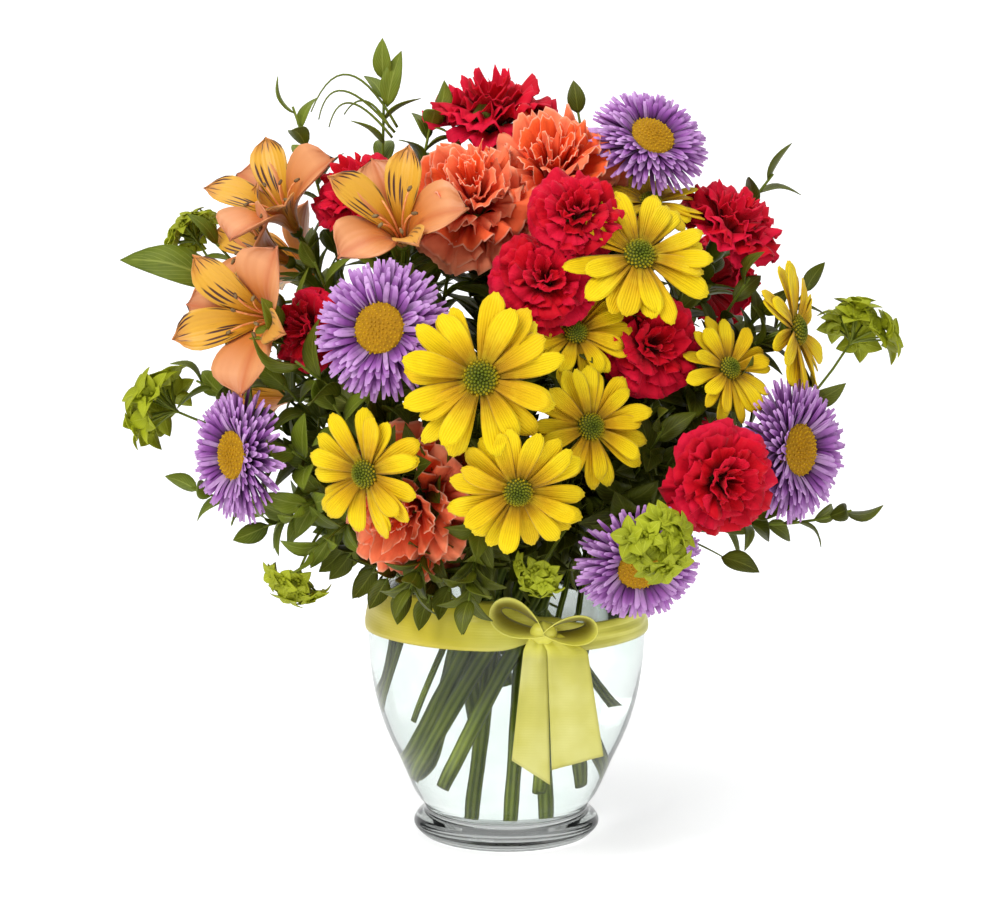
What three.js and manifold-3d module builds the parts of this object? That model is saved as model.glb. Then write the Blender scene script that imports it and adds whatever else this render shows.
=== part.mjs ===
// A florist's mixed bouquet in a clear glass vase tied with a satin ribbon.
// Millimetres, +Z up. The origin is the centre of the vase's foot, on the table; the bouquet's front is -Y.
// Every bloom, spray and leafy stem is its own solid. Stems stand in water, each in a plain hole.
import * as THREE from "three";
import { mergeVertices } from "three/addons/utils/BufferGeometryUtils.js";
import Module from "manifold-3d";

const wasm = await Module();
wasm.setup();

const GAP = 0.35; // clearance kept between two neighbouring solids
const FULL_TURN = 2 * Math.PI;

// ---------------------------------------------------------------- vase, water and ribbon sizes
const WATER_LEVEL = 92;
const VASE_TURNS = 24; // flats round the vase
// Outer outline of the vase, [radius, height], foot first and lip last
const VASE_OUTLINE = [
  [35.5, 0], [37.9, 3.4], [33.4, 9], [37.8, 17.5], [49.6, 44], [55.4, 70], [56.3, 87],
  [51.4, 102], [41.2, 115], [38.4, 122], [43.2, 132.6],
];
const BAND_LOW = 85.4; // the ribbon's lower edge on the vase
const BAND_HIGH = 103.4;
const BAND_THICKNESS = 0.9;
const BOW_AT = [14, -62.6, 93.5]; // the knot, in front of the band
const LOOP_WIDTH = 13; // ribbon width where it is gathered in the loops
const TAIL_THICKNESS = 0.9;

// ---------------------------------------------------------------- stems
// Stems lean the same way round the vase's axis, so they pass each other under the neck without touching. The
// outer ones end against the glass. twist: degrees that a stem's foot is turned from its place at the neck
const FOOT_Z = 10.8;
const NECK_Z = 124;
const RINGS = {
  outer: { foot: 33.8, neck: 24.5, footZ: 25, radius: 2.7, twist: -118 },
  inner: { foot: 14, neck: 8.4, footZ: FOOT_Z, radius: 2.4, twist: -55 },
  centre: { foot: 0.6, neck: 0.6, footZ: FOOT_Z, radius: 2.6, twist: 0 },
  wall: { foot: 39.6, neck: 33, footZ: 52, radius: 1.2, twist: -46 },
};
const STEM_SIDES = 5;
const BRANCH_SIDES = 3;

// ---------------------------------------------------------------- blooms
// at: centre of the petals; face: [degrees from the front towards +X, degrees up]; r: radius;
// roll: degrees turned about the way it faces
const BLOOMS = {
  daisy_1: { at: [-9, -109, 193], face: [-2, 8], r: 30, roll: 4 },
  daisy_2: { at: [4, -106, 153], face: [4, -16], r: 25.5, roll: 10 },
  daisy_3: { at: [-50, -96, 158], face: [-36, -2], r: 26, roll: 0 },
  daisy_4: { at: [30, -89, 174], face: [18, 8], r: 24, roll: 5 },
  daisy_5: { at: [48, -76, 235], face: [14, 30], r: 29, roll: 8 },
  daisy_6: { at: [82, -64, 193], face: [34, 22], r: 21, roll: 0 },
  daisy_7: { at: [110, -38, 206], face: [66, 12], r: 29, roll: 12 },
  daisy_8: { at: [54, -44, 254], face: [12, 58], r: 21, roll: 3 },
  daisy_9: { at: [25, -76, 207], face: [10, 22], r: 21, roll: 9 },
  aster_1: { at: [-44, -92, 209], face: [-16, 12], r: 26, roll: 0 },
  aster_2: { at: [-100, -55, 160], face: [-50, 2], r: 26, roll: 5 },
  aster_3: { at: [54, -38, 277], face: [22, 38], r: 24, roll: 2 },
  aster_4: { at: [107, -55, 162], face: [46, 4], r: 28, roll: 4 },
  aster_5: { at: [48, -86, 124], face: [10, -24], r: 24, roll: 3 },
  mini_1: { at: [-5, -8, 288.5], face: [0, 72], r: 27, roll: 0 },
  mini_2: { at: [25, -72, 250], face: [6, 30], r: 18.5, roll: 20 },
  mini_3: { at: [86, -30, 246], face: [48, 54], r: 22, roll: 10 },
  mini_4: { at: [14, -74.4, 226], face: [2, 26], r: 21, roll: 40 },
  mini_5: { at: [53, -64, 202], face: [20, 14], r: 21.5, roll: 15 },
  mini_6: { at: [78, -84, 154], face: [22, -2], r: 22, roll: 30 },
  mini_7: { at: [-56, -30, 258], face: [-26, 46], r: 20, roll: 0 },
  mini_8: { at: [-74, -46, 206], face: [-44, 8], r: 17, roll: 10 },
  carnation_1: { at: [18, -34, 264], face: [4, 42], r: 30, roll: 0 },
  carnation_2: { at: [-12, -43, 254], face: [-6, 34], r: 28.5, roll: 18 },
  carnation_3: { at: [-35, -64, 143], face: [-20, -12], r: 30, roll: 8 },
  alstro_1: { at: [-91, -24, 258], face: [-34, 44], r: 29, roll: 116 },
  alstro_2: { at: [-41, -66, 250], face: [-8, 34], r: 28, roll: 110 },
  alstro_3: { at: [-98, -52, 212], face: [-30, 6], r: 31, roll: 140 },
  alstro_4: { at: [-100, -20, 238], face: [-62, 22], r: 25, roll: 70 },
  back_daisy_1: { at: [34, 98, 196], face: [166, 8], r: 28, roll: 0 },
  back_daisy_2: { at: [-14, 96, 158], face: [188, -8], r: 25, roll: 6 },
  back_daisy_3: { at: [-2, 76, 244], face: [182, 38], r: 27, roll: 3 },
  back_aster_1: { at: [-62, 78, 190], face: [214, 10], r: 26, roll: 0 },
  back_aster_2: { at: [-40, 56, 254], face: [208, 44], r: 24, roll: 4 },
  back_mini_1: { at: [78, 70, 158], face: [134, -4], r: 21, roll: 0 },
  back_mini_2: { at: [88, 44, 222], face: [120, 22], r: 21, roll: 12 },
  back_mini_3: { at: [46, 60, 246], face: [150, 40], r: 19, roll: 30 },
  back_carnation_1: { at: [38, 30, 260], face: [136, 54], r: 27, roll: 0 },
  back_alstro_1: { at: [-104, 30, 176], face: [252, 2], r: 27, roll: 0 },
  back_alstro_2: { at: [-92, 40, 232], face: [238, 30], r: 26, roll: 22 },
};

// Each spray: its ring and place at the neck in degrees, where it forks, and the blooms it carries.
// cutAt is the height where a stem cut shorter than the rest ends
const SPRAYS = {
  daisy_spray_1: {
    ring: "outer", turn: -82, fork: [-12, -62, 152],
    blooms: ["daisy_1", "daisy_2", "daisy_3"],
  },
  daisy_spray_2: {
    ring: "outer", turn: -49, fork: [34, -48, 176],
    blooms: ["daisy_4", "daisy_9", "daisy_5", "daisy_8"],
  },
  daisy_spray_3: {
    ring: "outer", turn: 16, cutAt: 72, fork: [62, -18, 172],
    blooms: ["daisy_6", "daisy_7"],
  },
  aster_spray_1: {
    ring: "outer", turn: -146, cutAt: 46, fork: [-48, -40, 160],
    blooms: ["aster_1", "aster_2"],
  },
  aster_spray_2: { ring: "outer", turn: -16, fork: [52, -32, 152], blooms: ["aster_4", "aster_5"] },
  aster_stem_3: { ring: "inner", turn: 30, blooms: ["aster_3"] },
  alstro_spray: {
    ring: "outer", turn: -178, cutAt: 62, fork: [-62, -12, 196],
    blooms: ["alstro_1", "alstro_2", "alstro_3", "alstro_4"],
  },
  mini_spray_1: { ring: "inner", turn: -90, fork: [2, -34, 200], blooms: ["mini_1", "mini_2", "mini_4"] },
  mini_spray_2: {
    ring: "inner", turn: -30, fork: [38, -26, 168],
    blooms: ["mini_3", "mini_5", "mini_6"],
  },
  carnation_stem_1: { ring: "centre", turn: 0, cutAt: 76, blooms: ["carnation_1"] },
  carnation_stem_2: { ring: "inner", turn: -150, cutAt: 66, blooms: ["carnation_2"] },
  carnation_stem_3: { ring: "outer", turn: -113, blooms: ["carnation_3"] },
};
// Sprays whose blooms are fused with their stem in one node
const WHOLE_SPRAYS = {
  mini_spray_3: { ring: "inner", turn: 150, cutAt: 72, fork: [-36, -14, 190], blooms: ["mini_7", "mini_8"] },
  back_daisies: {
    ring: "outer", turn: 82, fork: [4, 48, 164],
    blooms: ["back_daisy_1", "back_daisy_2", "back_daisy_3"],
  },
  back_asters: {
    ring: "outer", turn: 115, fork: [-30, 40, 170],
    blooms: ["back_aster_1", "back_aster_2"],
  },
  back_minis: {
    ring: "outer", turn: 49, fork: [46, 36, 168],
    blooms: ["back_mini_1", "back_mini_2", "back_mini_3"],
  },
  back_carnation: { ring: "inner", turn: 90, cutAt: 74, blooms: ["back_carnation_1"] },
  back_alstros: {
    ring: "outer", turn: 148, cutAt: 68, fork: [-62, 22, 176],
    blooms: ["back_alstro_1", "back_alstro_2"],
  },
};

// ---------------------------------------------------------------- materials
const finish = (color, roughness = 0.6) => new THREE.MeshStandardMaterial({ color, roughness, metalness: 0 });
const clear = (color, roughness) =>
  new THREE.MeshStandardMaterial({ color, roughness, transparent: true, opacity: 0.3 });
const MATERIALS = {
  daisy: finish(0xf6d51a),
  aster: finish(0x9a6fc8),
  asterDisc: finish(0xd9b21c),
  mini: finish(0xd3123f),
  carnation: finish(0xf0745a),
  alstro: finish(0xf0a35c),
  stem: finish(0x55762a),
  limeLeaf: finish(0x9dbb2c),
  darkLeaf: finish(0x3f5a22),
  ribbon: finish(0xe3dc6c, 0.35),
  glass: clear(0xeef3f5, 0.03),
  water: clear(0xeaf2f4, 0.02),
};

// ---------------------------------------------------------------- solids
const radians = (degrees) => (degrees * Math.PI) / 180;
const vector = (list) => new THREE.Vector3(...list);

// A three.js geometry as a manifold solid
function solid(geometry) {
  const bare = geometry.clone();
  for (const name of Object.keys(bare.attributes)) if (name !== "position") bare.deleteAttribute(name);
  const merged = mergeVertices(bare, 1e-4);
  return new wasm.Manifold(new wasm.Mesh({
    numProp: 3,
    vertProperties: new Float32Array(merged.attributes.position.array),
    triVerts: new Uint32Array(merged.index.array),
  }));
}

const fuse = (solids) => wasm.Manifold.union(solids);
const moved = (body, matrix) => body.transform(matrix.elements);

// The largest of the bodies that a cut leaves
function mainBody(body) {
  return body.decompose().reduce((best, next) => (next.volume() > best.volume() ? next : best));
}

// The matrix that stands a bloom's own frame, +Z out of its face, where the bloom is
function placeOf({ at, face, roll }) {
  const [side, up] = face.map(radians);
  const out = new THREE.Vector3(Math.sin(side) * Math.cos(up), -Math.cos(side) * Math.cos(up), Math.sin(up));
  const turn = new THREE.Quaternion().setFromUnitVectors(new THREE.Vector3(0, 0, 1), out);
  const spin = new THREE.Quaternion().setFromAxisAngle(new THREE.Vector3(0, 0, 1), radians(roll));
  return new THREE.Matrix4().compose(vector(at), turn.multiply(spin), new THREE.Vector3(1, 1, 1));
}

// A thin blade with a ridge along its middle: rows are [share of its length, share of its width], root first.
// spine(share) gives the blade's middle as [distance out, height]; cup lifts its edges.
function blade({ rows, width, thick }, spine, grow) {
  const steps = rows.length - 1;
  const geometry = new THREE.ConeGeometry(1, 1, 3, steps).translate(0, 0.5, 0);
  const points = geometry.attributes.position;
  for (let i = 0; i < points.count; i++) {
    const row = Math.round(points.getY(i) * steps);
    const [share, wide] = rows[row];
    const slim = row === steps ? 1 : 1 - points.getY(i);
    const side = -points.getX(i) / slim / 0.866;
    const face = points.getZ(i) / slim;
    const [out, up] = spine(share);
    const [outNext, upNext] = spine(share + 0.01);
    const run = Math.hypot(outNext - out, upNext - up);
    const [along, rise] = [(outNext - out) / run, (upNext - up) / run];
    const lift = face * ((thick / 2) * (row ? 1 : 0.5) + grow);
    const reach = row === steps ? grow : 0;
    points.setXYZ(
      i,
      out + along * reach - rise * lift,
      side * ((wide * width) / 2 + grow),
      up + rise * reach + along * lift,
    );
  }
  return geometry;
}

// A turned body: its outline is [radius, height], closed on the axis or on itself
function turnedBody(outline, flats) {
  const points = outline.map(([r, z]) => new THREE.Vector2(r, z));
  return new THREE.LatheGeometry(points, flats).rotateX(Math.PI / 2);
}

// A turned body whose outline changes as it goes round: outlineAt(step) gives [turn, radius, height] for each
// point. Every other strip is split along the other diagonal, so the two faces of a petal are split alike.
function lobedBody(steps, outlineAt, rowCount) {
  const placeholder = Array.from({ length: rowCount }, (_, j) => new THREE.Vector2(1, j));
  const geometry = new THREE.LatheGeometry(placeholder, steps);
  const points = geometry.attributes.position;
  for (let i = 0; i < points.count; i++) {
    const [turn, r, z] = outlineAt(Math.floor(i / rowCount) % steps)[i % rowCount];
    points.setXYZ(i, r * Math.cos(turn), r * Math.sin(turn), z);
  }
  const faces = [];
  for (let i = 0; i < steps; i++) {
    for (let j = 0; j < rowCount - 1; j++) {
      const here = i * rowCount + j;
      const next = here + rowCount;
      if (j % 2) faces.push(here, next, next + 1, here, next + 1, here + 1);
      else faces.push(here, next, here + 1, here + 1, next, next + 1);
    }
  }
  geometry.setIndex(faces);
  return solid(geometry);
}

// A length of stem along a row of points, its ends closed
function stalk(points, radius, sides, grow) {
  const steps = points.length - 1;
  const geometry = new THREE.CylinderGeometry(1, 1, 1, sides, steps);
  const vertices = geometry.attributes.position;
  const ways = points.map((_, i) =>
    points[Math.min(i + 1, steps)].clone().sub(points[Math.max(i - 1, 0)]).normalize());
  const sideways = [new THREE.Vector3(1, 0.3, 0).cross(ways[0]).normalize()];
  for (let i = 1; i <= steps; i++) {
    const turn = new THREE.Quaternion().setFromUnitVectors(ways[i - 1], ways[i]);
    sideways.push(sideways[i - 1].clone().applyQuaternion(turn));
  }
  for (let i = 0; i < vertices.count; i++) {
    const row = Math.round((vertices.getY(i) + 0.5) * steps);
    const across = ways[row].clone().cross(sideways[row]);
    const end = row === 0 ? -grow : row === steps ? grow : 0;
    const at = points[row].clone().addScaledVector(ways[row], end)
      .addScaledVector(sideways[row], vertices.getX(i) * (radius + grow))
      .addScaledVector(across, -vertices.getZ(i) * (radius + grow));
    vertices.setXYZ(i, at.x, at.y, at.z);
  }
  return solid(geometry);
}

const bend = (from, by, to) => new THREE.QuadraticBezierCurve3(from, by, to);

// ---------------------------------------------------------------- kinds of bloom, each in its own frame
const DAISY_HOLE = 1.65;

// A ring of petals round a hole, or on a root of their own. Each petal's edge runs notch, shoulder, shoulder,
// and the petals rise in turn.
function daisyPetals(r, grow, root) {
  const petals = 12;
  const spread = radians(180 / petals);
  const [turns, reach] = [[-1, -0.62, 0.56], [0.36, 0.95, 1]];
  return lobedBody(petals * 3, (step) => {
    const [petal, corner] = [Math.floor(step / 3), step % 3];
    const rise = [0.2, 0.05, 0.13][petal % 3] * r * (corner ? 1 : 0.3);
    const turn = spread * (2 * petal + turns[corner]);
    const length = r * reach[corner] * (petal % 3 ? 1 : 0.93) + grow;
    const low = [turn, DAISY_HOLE - grow, -1.1 - grow];
    return root
      ? [[turn, 0, -root - grow], [turn, length, rise], [turn, 0.2 * r, 1.4 + grow], [turn, 0, 4.4 + grow]]
      : [low, [turn, length, rise], [turn, DAISY_HOLE - grow, 1.1 + grow], low];
  }, 4);
}

// The daisy's green button, the neck through the petals and the cup under them
function daisyHeart(r, grow) {
  const [button, neck] = [0.2 * r + grow, 1.1 + grow];
  return solid(turnedBody([[0, -5.5 - grow], [button, -1.6 + grow], [neck, -1.6 + grow], [neck, 1.6 - grow],
    [button, 2.5 - grow], [0, 4.8 + grow]], 6));
}

// Two layers of narrow rays on one low core
function asterRays(r, grow, root = 0.15 * r) {
  const rays = 15;
  return lobedBody(rays * 2, (step) => {
    const turn = (step * Math.PI) / rays;
    const [outer, inner] = step % 2 ? [1, 0.5] : [0.62, 0.8];
    return [
      [turn, 0, -root - grow],
      [turn, outer * r + grow, step % 2 ? -0.04 * r : 0],
      [turn, 0.46 * r + grow, 0.08 * r + grow],
      [turn, inner * r + grow, (step % 2 ? 0.16 : 0.24) * r + grow],
      [turn, 0.27 * r + grow, 0.14 * r + grow],
      [turn, 0, 0.1 * r + grow],
    ];
  }, 6);
}

function asterDisc(r, grow) {
  const low = 0.14 * r + GAP - grow;
  return solid(turnedBody([[0, low], [0.36 * r + grow, low + 0.9], [0.24 * r + grow, low + 3 + grow],
    [0, low + 3.4 + grow]], 9));
}

// The green cup under an aster
const asterCup = (r, grow) =>
  solid(turnedBody([
    [0, -9 - grow], [0.28 * r + grow, -0.15 * r - GAP + grow], [0, -0.15 * r - GAP + grow],
  ], 6));

// Ruffled petals in layers, from the wide outer ones to the upright tuft in the middle.
// layers: [radius of the edge, its height, radius of the fold above it, its height], as shares of the bloom's
function ruffled(r, steps, layers, grow, root = 0.14 * r) {
  return lobedBody(steps, (step) => {
    const turn = (step * FULL_TURN) / steps;
    const rows = [[turn, 0, -root - grow]];
    layers.forEach(([edge, height, fold, foldHeight], layer) => {
      const place = (step + 2 * layer) % 4;
      const toothed = [0.8, 1, 0.94, 1.02][place];
      const wave = [-0.02, 0.07, -0.03, 0.06][place];
      rows.push([turn, edge * toothed * r + grow, (height + wave) * r + (layer ? grow : 0)]);
      rows.push([turn, fold * r, foldHeight * r + grow]);
    });
    return rows;
  }, 1 + 2 * layers.length);
}

const MINI_LAYERS = [[1, 0.04, 0.5, 0.2], [0.82, 0.36, 0.34, 0.34], [0.5, 0.58, 0, 0.42]];
const CARNATION_LAYERS = [
  [1, 0, 0.62, 0.12], [0.92, 0.26, 0.5, 0.28], [0.74, 0.5, 0.34, 0.42], [0.44, 0.68, 0, 0.5],
];

// The long green cup that holds a carnation's petals
const carnationCup = (r, grow) =>
  solid(turnedBody([
    [0, -0.78 * r - grow], [0.17 * r + grow, -0.5 * r], [0.2 * r + grow, -0.14 * r - GAP + grow],
    [0, -0.14 * r - GAP + grow],
  ], 5));

// A funnel of six free tepals: three broad, three narrow and more upright.
// Each edge runs notch, shoulder, tip, shoulder
function alstroPetals(r, grow, root = 0.74 * r) {
  const broad = { turns: [-0.92, -0.72, 0, 0.72], reach: [0.3, 0.82, 1, 0.82], rise: [-0.3, 0.1, 0.08, 0.1] };
  const narrow = {
    turns: [-0.6, -0.44, 0, 0.44], reach: [0.3, 0.68, 0.84, 0.68], rise: [-0.3, 0.2, 0.3, 0.2],
  };
  return lobedBody(24, (step) => {
    const [tepal, corner] = [Math.floor(step / 4), step % 4];
    const { turns, reach, rise } = tepal % 2 ? narrow : broad;
    const turn = (tepal * Math.PI) / 3 + turns[corner] * 0.6;
    const [length, height] = [reach[corner] * r + grow, rise[corner] * r];
    return [
      [turn, 0, -root - grow],
      [turn, 0.3 * length + 0.8 + grow, 0.35 * height - 0.42 * r - grow],
      [turn, length, height],
      [turn, 0.3 * length - 0.2 + grow, 0.35 * height - 0.36 * r + grow],
      [turn, 0, -0.56 * r + grow],
    ];
  }, 5);
}

// What each kind of bloom is made of: its petals, the green it stands on, how far behind its centre
// the stem starts, and how deep its root reaches where it is one body with its stem
const KINDS = {
  daisy: { petals: daisyPetals, green: daisyHeart, back: () => 4.6, root: () => 6, colour: "daisy" },
  aster: { petals: asterRays, green: asterCup, back: () => 8, root: () => 9, colour: "aster" },
  mini: {
    petals: (r, grow, root) => ruffled(r, 16, MINI_LAYERS, grow, root),
    green: carnationCup, back: (r) => 0.7 * r, root: (r) => 0.78 * r, colour: "mini",
  },
  carnation: {
    petals: (r, grow, root) => ruffled(r, 20, CARNATION_LAYERS, grow, root),
    green: carnationCup, back: (r) => 0.7 * r, root: (r) => 0.78 * r, colour: "carnation",
  },
  alstro: { petals: alstroPetals, back: (r) => 0.74 * r + GAP + 0.3, root: (r) => 0.8 * r, colour: "alstro" },
};
const kindOf = (name) => KINDS[name.replace("back_", "").replace(/_\d+$/, "")];

// ---------------------------------------------------------------- stems and sprays
function stemLine({ ring, turn, cutAt }) {
  const { foot, neck, footZ, radius, twist } = RINGS[ring];
  const [top, low] = [radians(turn), radians(turn + twist)];
  const bottom = new THREE.Vector3(foot * Math.cos(low), foot * Math.sin(low), footZ);
  const collar = new THREE.Vector3(neck * Math.cos(top), neck * Math.sin(top), NECK_Z);
  if (cutAt) bottom.lerp(collar, (cutAt - footZ) / (NECK_Z - footZ));
  return { foot: bottom, neck: collar, radius };
}

// Where a bloom's stem meets it, and a point behind that on the bloom's axis
function backOf(name, further = 0) {
  const bloom = BLOOMS[name];
  return new THREE.Vector3(0, 0, -kindOf(name).back(bloom.r) - further).applyMatrix4(placeOf(bloom));
}

function spraySolid(spray, grow, cups = true) {
  const { foot, neck, radius } = stemLine(spray);
  const onward = neck.clone().sub(foot).normalize();
  const [first] = spray.blooms;
  const trunk = spray.fork
    ? bend(neck, neck.clone().addScaledVector(onward, 16), vector(spray.fork))
    : bend(neck, backOf(first, 40), backOf(first));
  const pieces = [stalk([foot, ...trunk.getPoints(spray.fork ? 2 : 4)], radius * 0.95, STEM_SIDES, grow)];
  for (const [i, name] of spray.fork ? spray.blooms.entries() : []) {
    const branch = bend(trunk.getPoint(0.98 - 0.09 * i), backOf(name, 14), backOf(name));
    pieces.push(stalk(branch.getPoints(2), 1.25, BRANCH_SIDES, grow));
  }
  for (const name of cups ? spray.blooms : []) {
    const kind = kindOf(name);
    if (kind.green) pieces.push(moved(kind.green(BLOOMS[name].r, grow), placeOf(BLOOMS[name])));
  }
  return fuse(pieces);
}

// ---------------------------------------------------------------- leaves
const LEAF = [[0, 0.1], [0.42, 1], [1, 0]];

// A leaf that grows from a point: it runs along one direction and turns its upper side another way
function leaf(root, along, face, length, width, rows, grow) {
  const spine = (s) => [length * s, length * 0.16 * s * (1 - s)];
  const shape = { rows, width, thick: 1.2 };
  const x = along.clone().normalize();
  const y = face.clone().cross(x).normalize();
  const frame = new THREE.Matrix4().makeBasis(x, y, x.clone().cross(y)).setPosition(root);
  return moved(solid(blade(shape, spine, grow)), frame);
}

// Leaves up a bent stem, each a turn further round it than the last
function leavesUp({ curve: bent, count, length, width, first = 0.45 }, grow) {
  const [a, b, c, d] = bent.getPoints(3);
  const curve = new THREE.CurvePath();
  for (const [from, to] of [[a, b], [b, c], [c, d]]) curve.add(new THREE.LineCurve3(from, to));
  return Array.from({ length: count }, (_, i) => {
    const share = first + (0.97 - first) * (i / Math.max(1, count - 1));
    const tangent = curve.getTangent(share);
    const side = new THREE.Vector3(0, 0, 1).cross(tangent).normalize();
    side.applyAxisAngle(tangent, radians(137.5 * i));
    const last = i === count - 1;
    const along = tangent.clone().multiplyScalar(last ? 1 : 0.55).addScaledVector(side, last ? 0.1 : 0.85);
    const face = tangent.clone().multiplyScalar(0.85).addScaledVector(side, last ? 1 : -0.55);
    const size = 1 - 0.3 * share;
    return leaf(curve.getPoint(share), along, face, length * size, width * size, LEAF, grow);
  });
}

// A whorl of five pointed bracts, open like a saucer
function bractWhorl(r, grow) {
  const [turns, reach] = [[-1, -0.6, 0, 0.6], [0.42, 0.84, 1, 0.84]];
  return lobedBody(20, (step) => {
    const [bract, corner] = [Math.floor(step / 4), step % 4];
    const turn = (Math.PI / 5) * (2 * bract + turns[corner]);
    const edge = [turn, r * reach[corner] + grow, r * (corner ? 0.22 + 0.08 * (bract % 2) : 0.05)];
    return [[turn, 0, -1.3 - grow], edge, [turn, 0, 1.1 + grow]];
  }, 3);
}

// A head of lime bracts: whorls of bracts, each on a short stalk
function bractHead(at, out, r, grow) {
  const across = new THREE.Vector3(0, 0, 1).cross(out).normalize();
  return [0, 1].flatMap((i) => {
    const lean = across.clone().applyAxisAngle(out, radians(90 + 180 * i));
    const axis = out.clone().addScaledVector(lean, 1.2).normalize();
    const centre = at.clone().addScaledVector(axis, (0.6 + 0.12 * i) * r);
    const turn = new THREE.Quaternion().setFromUnitVectors(new THREE.Vector3(0, 0, 1), axis);
    const frame = new THREE.Matrix4().compose(centre, turn, new THREE.Vector3(1, 1, 1));
    return [
      stalk([at.clone().addScaledVector(out, -1.5), centre], 0.8, BRANCH_SIDES, grow),
      moved(bractWhorl((0.68 - 0.12 * i) * r, grow), frame),
    ];
  });
}

// Leafy stems stand near the glass. twigs: where each shoot ends, its leaves' number, length and width
const LEAFY_STEMS = {
  leafy_stem_1: {
    turn: -172, fork: [-52, -6, 150], colour: "darkLeaf",
    twigs: [
      { to: [-48, -4, 306], by: [-50, 4, 250], count: 5, length: 24, width: 11 },
      { to: [-84, -6, 292], by: [-70, 6, 250], count: 5, length: 23, width: 10 },
      { to: [-120, -8, 240], by: [-88, 2, 210], count: 2, length: 52, width: 15, first: 0.8 },
      { to: [-124, -22, 143], by: [-84, -14, 126], count: 4, length: 22, width: 10 },
    ],
  },
  leafy_stem_2: {
    turn: -8, fork: [52, 10, 150], colour: "darkLeaf",
    twigs: [
      { to: [106, 2, 266], by: [70, 8, 220], count: 5, length: 24, width: 8 },
      { to: [122, 6, 222], by: [86, 16, 170], count: 4, length: 23, width: 10 },
      { to: [136, -20, 134], by: [92, -14, 118], count: 5, length: 22, width: 10 },
      { to: [28, 10, 294], by: [40, 6, 230], count: 4, length: 20, width: 11 },
    ],
  },
  collar_leaves_1: {
    turn: -100, fork: [-8, -40, 145], colour: "darkLeaf",
    twigs: [
      { to: [-36, -75, 113], by: [-26, -66, 138], count: 7, length: 27, width: 11, first: 0.3 },
      { to: [-12, -79, 107], by: [-8, -66, 136], count: 6, length: 27, width: 11, first: 0.3 },
      { to: [-78, -66, 196], by: [-42, -50, 166], count: 4, length: 35, width: 17 },
    ],
  },
  collar_leaves_2: {
    turn: 96, fork: [-4, 40, 145], colour: "darkLeaf",
    twigs: [
      { to: [-46, 72, 118], by: [-26, 62, 141], count: 4, length: 27, width: 11, first: 0.3 },
      { to: [42, 74, 116], by: [21, 63, 141], count: 4, length: 27, width: 11, first: 0.3 },
      { to: [-2, 112, 190], by: [0, 70, 150], count: 4, length: 32, width: 14 },
    ],
  },
  lime_stem_1: {
    turn: -140, fork: [-49, -24, 153], colour: "limeLeaf",
    heads: [
      { to: [-130, -22, 176], by: [-96, -30, 160], r: 21 },
      { to: [-78, -54, 117], by: [-68, -46, 142], r: 15 },
      { to: [-122, -2, 238], by: [-92, -24, 196], r: 15 },
    ],
  },
  lime_stem_2: {
    turn: -30, fork: [34, -32, 145], colour: "limeLeaf",
    heads: [
      { to: [138, 0, 202], by: [96, -30, 140], r: 20 },
      { to: [52, -100, 134], by: [44, -64, 134], r: 17 },
      { to: [13, -80, 122], by: [26, -64, 140], r: 12.5 },
    ],
  },
};

function leafyTrunk({ turn, fork }) {
  const { foot, neck } = stemLine({ ring: "wall", turn });
  const onward = neck.clone().sub(foot).normalize();
  return { foot, trunk: bend(neck, neck.clone().addScaledVector(onward, 9), vector(fork)) };
}

// The shoots leave the trunk one below the other
const shootsOf = (stem) => {
  const { trunk } = leafyTrunk(stem);
  return [...(stem.twigs ?? []), ...(stem.heads ?? [])].map((one, i) =>
    ({ ...one, curve: bend(trunk.getPoint(0.98 - 0.12 * i), vector(one.by), vector(one.to)) }));
};

function leafyWood(stem, grow) {
  const { foot, trunk } = leafyTrunk(stem);
  return fuse([
    stalk([foot, ...trunk.getPoints(3)], RINGS.wall.radius, 4, grow),
    ...shootsOf(stem).map(({ curve }) => stalk(curve.getPoints(3), 0.95, BRANCH_SIDES, grow)),
  ]);
}

const leafyGreen = (stem, grow) => fuse(shootsOf(stem).flatMap((one) =>
  one.count ? leavesUp(one, grow) : bractHead(one.curve.v2, one.curve.getTangent(1), one.r, grow)));

// ---------------------------------------------------------------- vase, water, ribbon
const VASE_INSIDE = [
  [42, 134], [35.6, 122.4], [38.4, 114], [48.6, 100.6], [53.3, 86], [52.6, 70], [46.8, 44.4], [34.8, 18.4],
  [27.5, 10],
];

const vase = solid(turnedBody([[0, 0], ...VASE_OUTLINE, ...VASE_INSIDE, [0, 10]], VASE_TURNS));

const wetOutline = VASE_INSIDE.filter(([, z]) => z < 87).reverse().map(([r, z]) => [r - 0.45, z + 0.2]);
const brim = [53.3 - ((WATER_LEVEL - 86) / 14.6) * 4.7 - 0.45, WATER_LEVEL];
const waterBody = solid(turnedBody([[0, 10.2], ...wetOutline, brim, [0, WATER_LEVEL]], VASE_TURNS));

// The vase's outer radius at a height
function glassRadius(z) {
  const above = VASE_OUTLINE.findIndex(([, height]) => height >= z);
  const [[r0, z0], [r1, z1]] = [VASE_OUTLINE[above - 1], VASE_OUTLINE[above]];
  return r0 + ((r1 - r0) * (z - z0)) / (z1 - z0);
}

const bandHeights = [BAND_LOW, 87, 102, BAND_HIGH];
const bandOutside = bandHeights.map((z) => [glassRadius(z) + GAP + BAND_THICKNESS, z]);
const bandInside = bandHeights.map((z) => [glassRadius(z) + GAP, z]).reverse();
const ribbonBand = solid(turnedBody([...bandOutside, ...bandInside, bandOutside[0]], VASE_TURNS));

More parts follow.
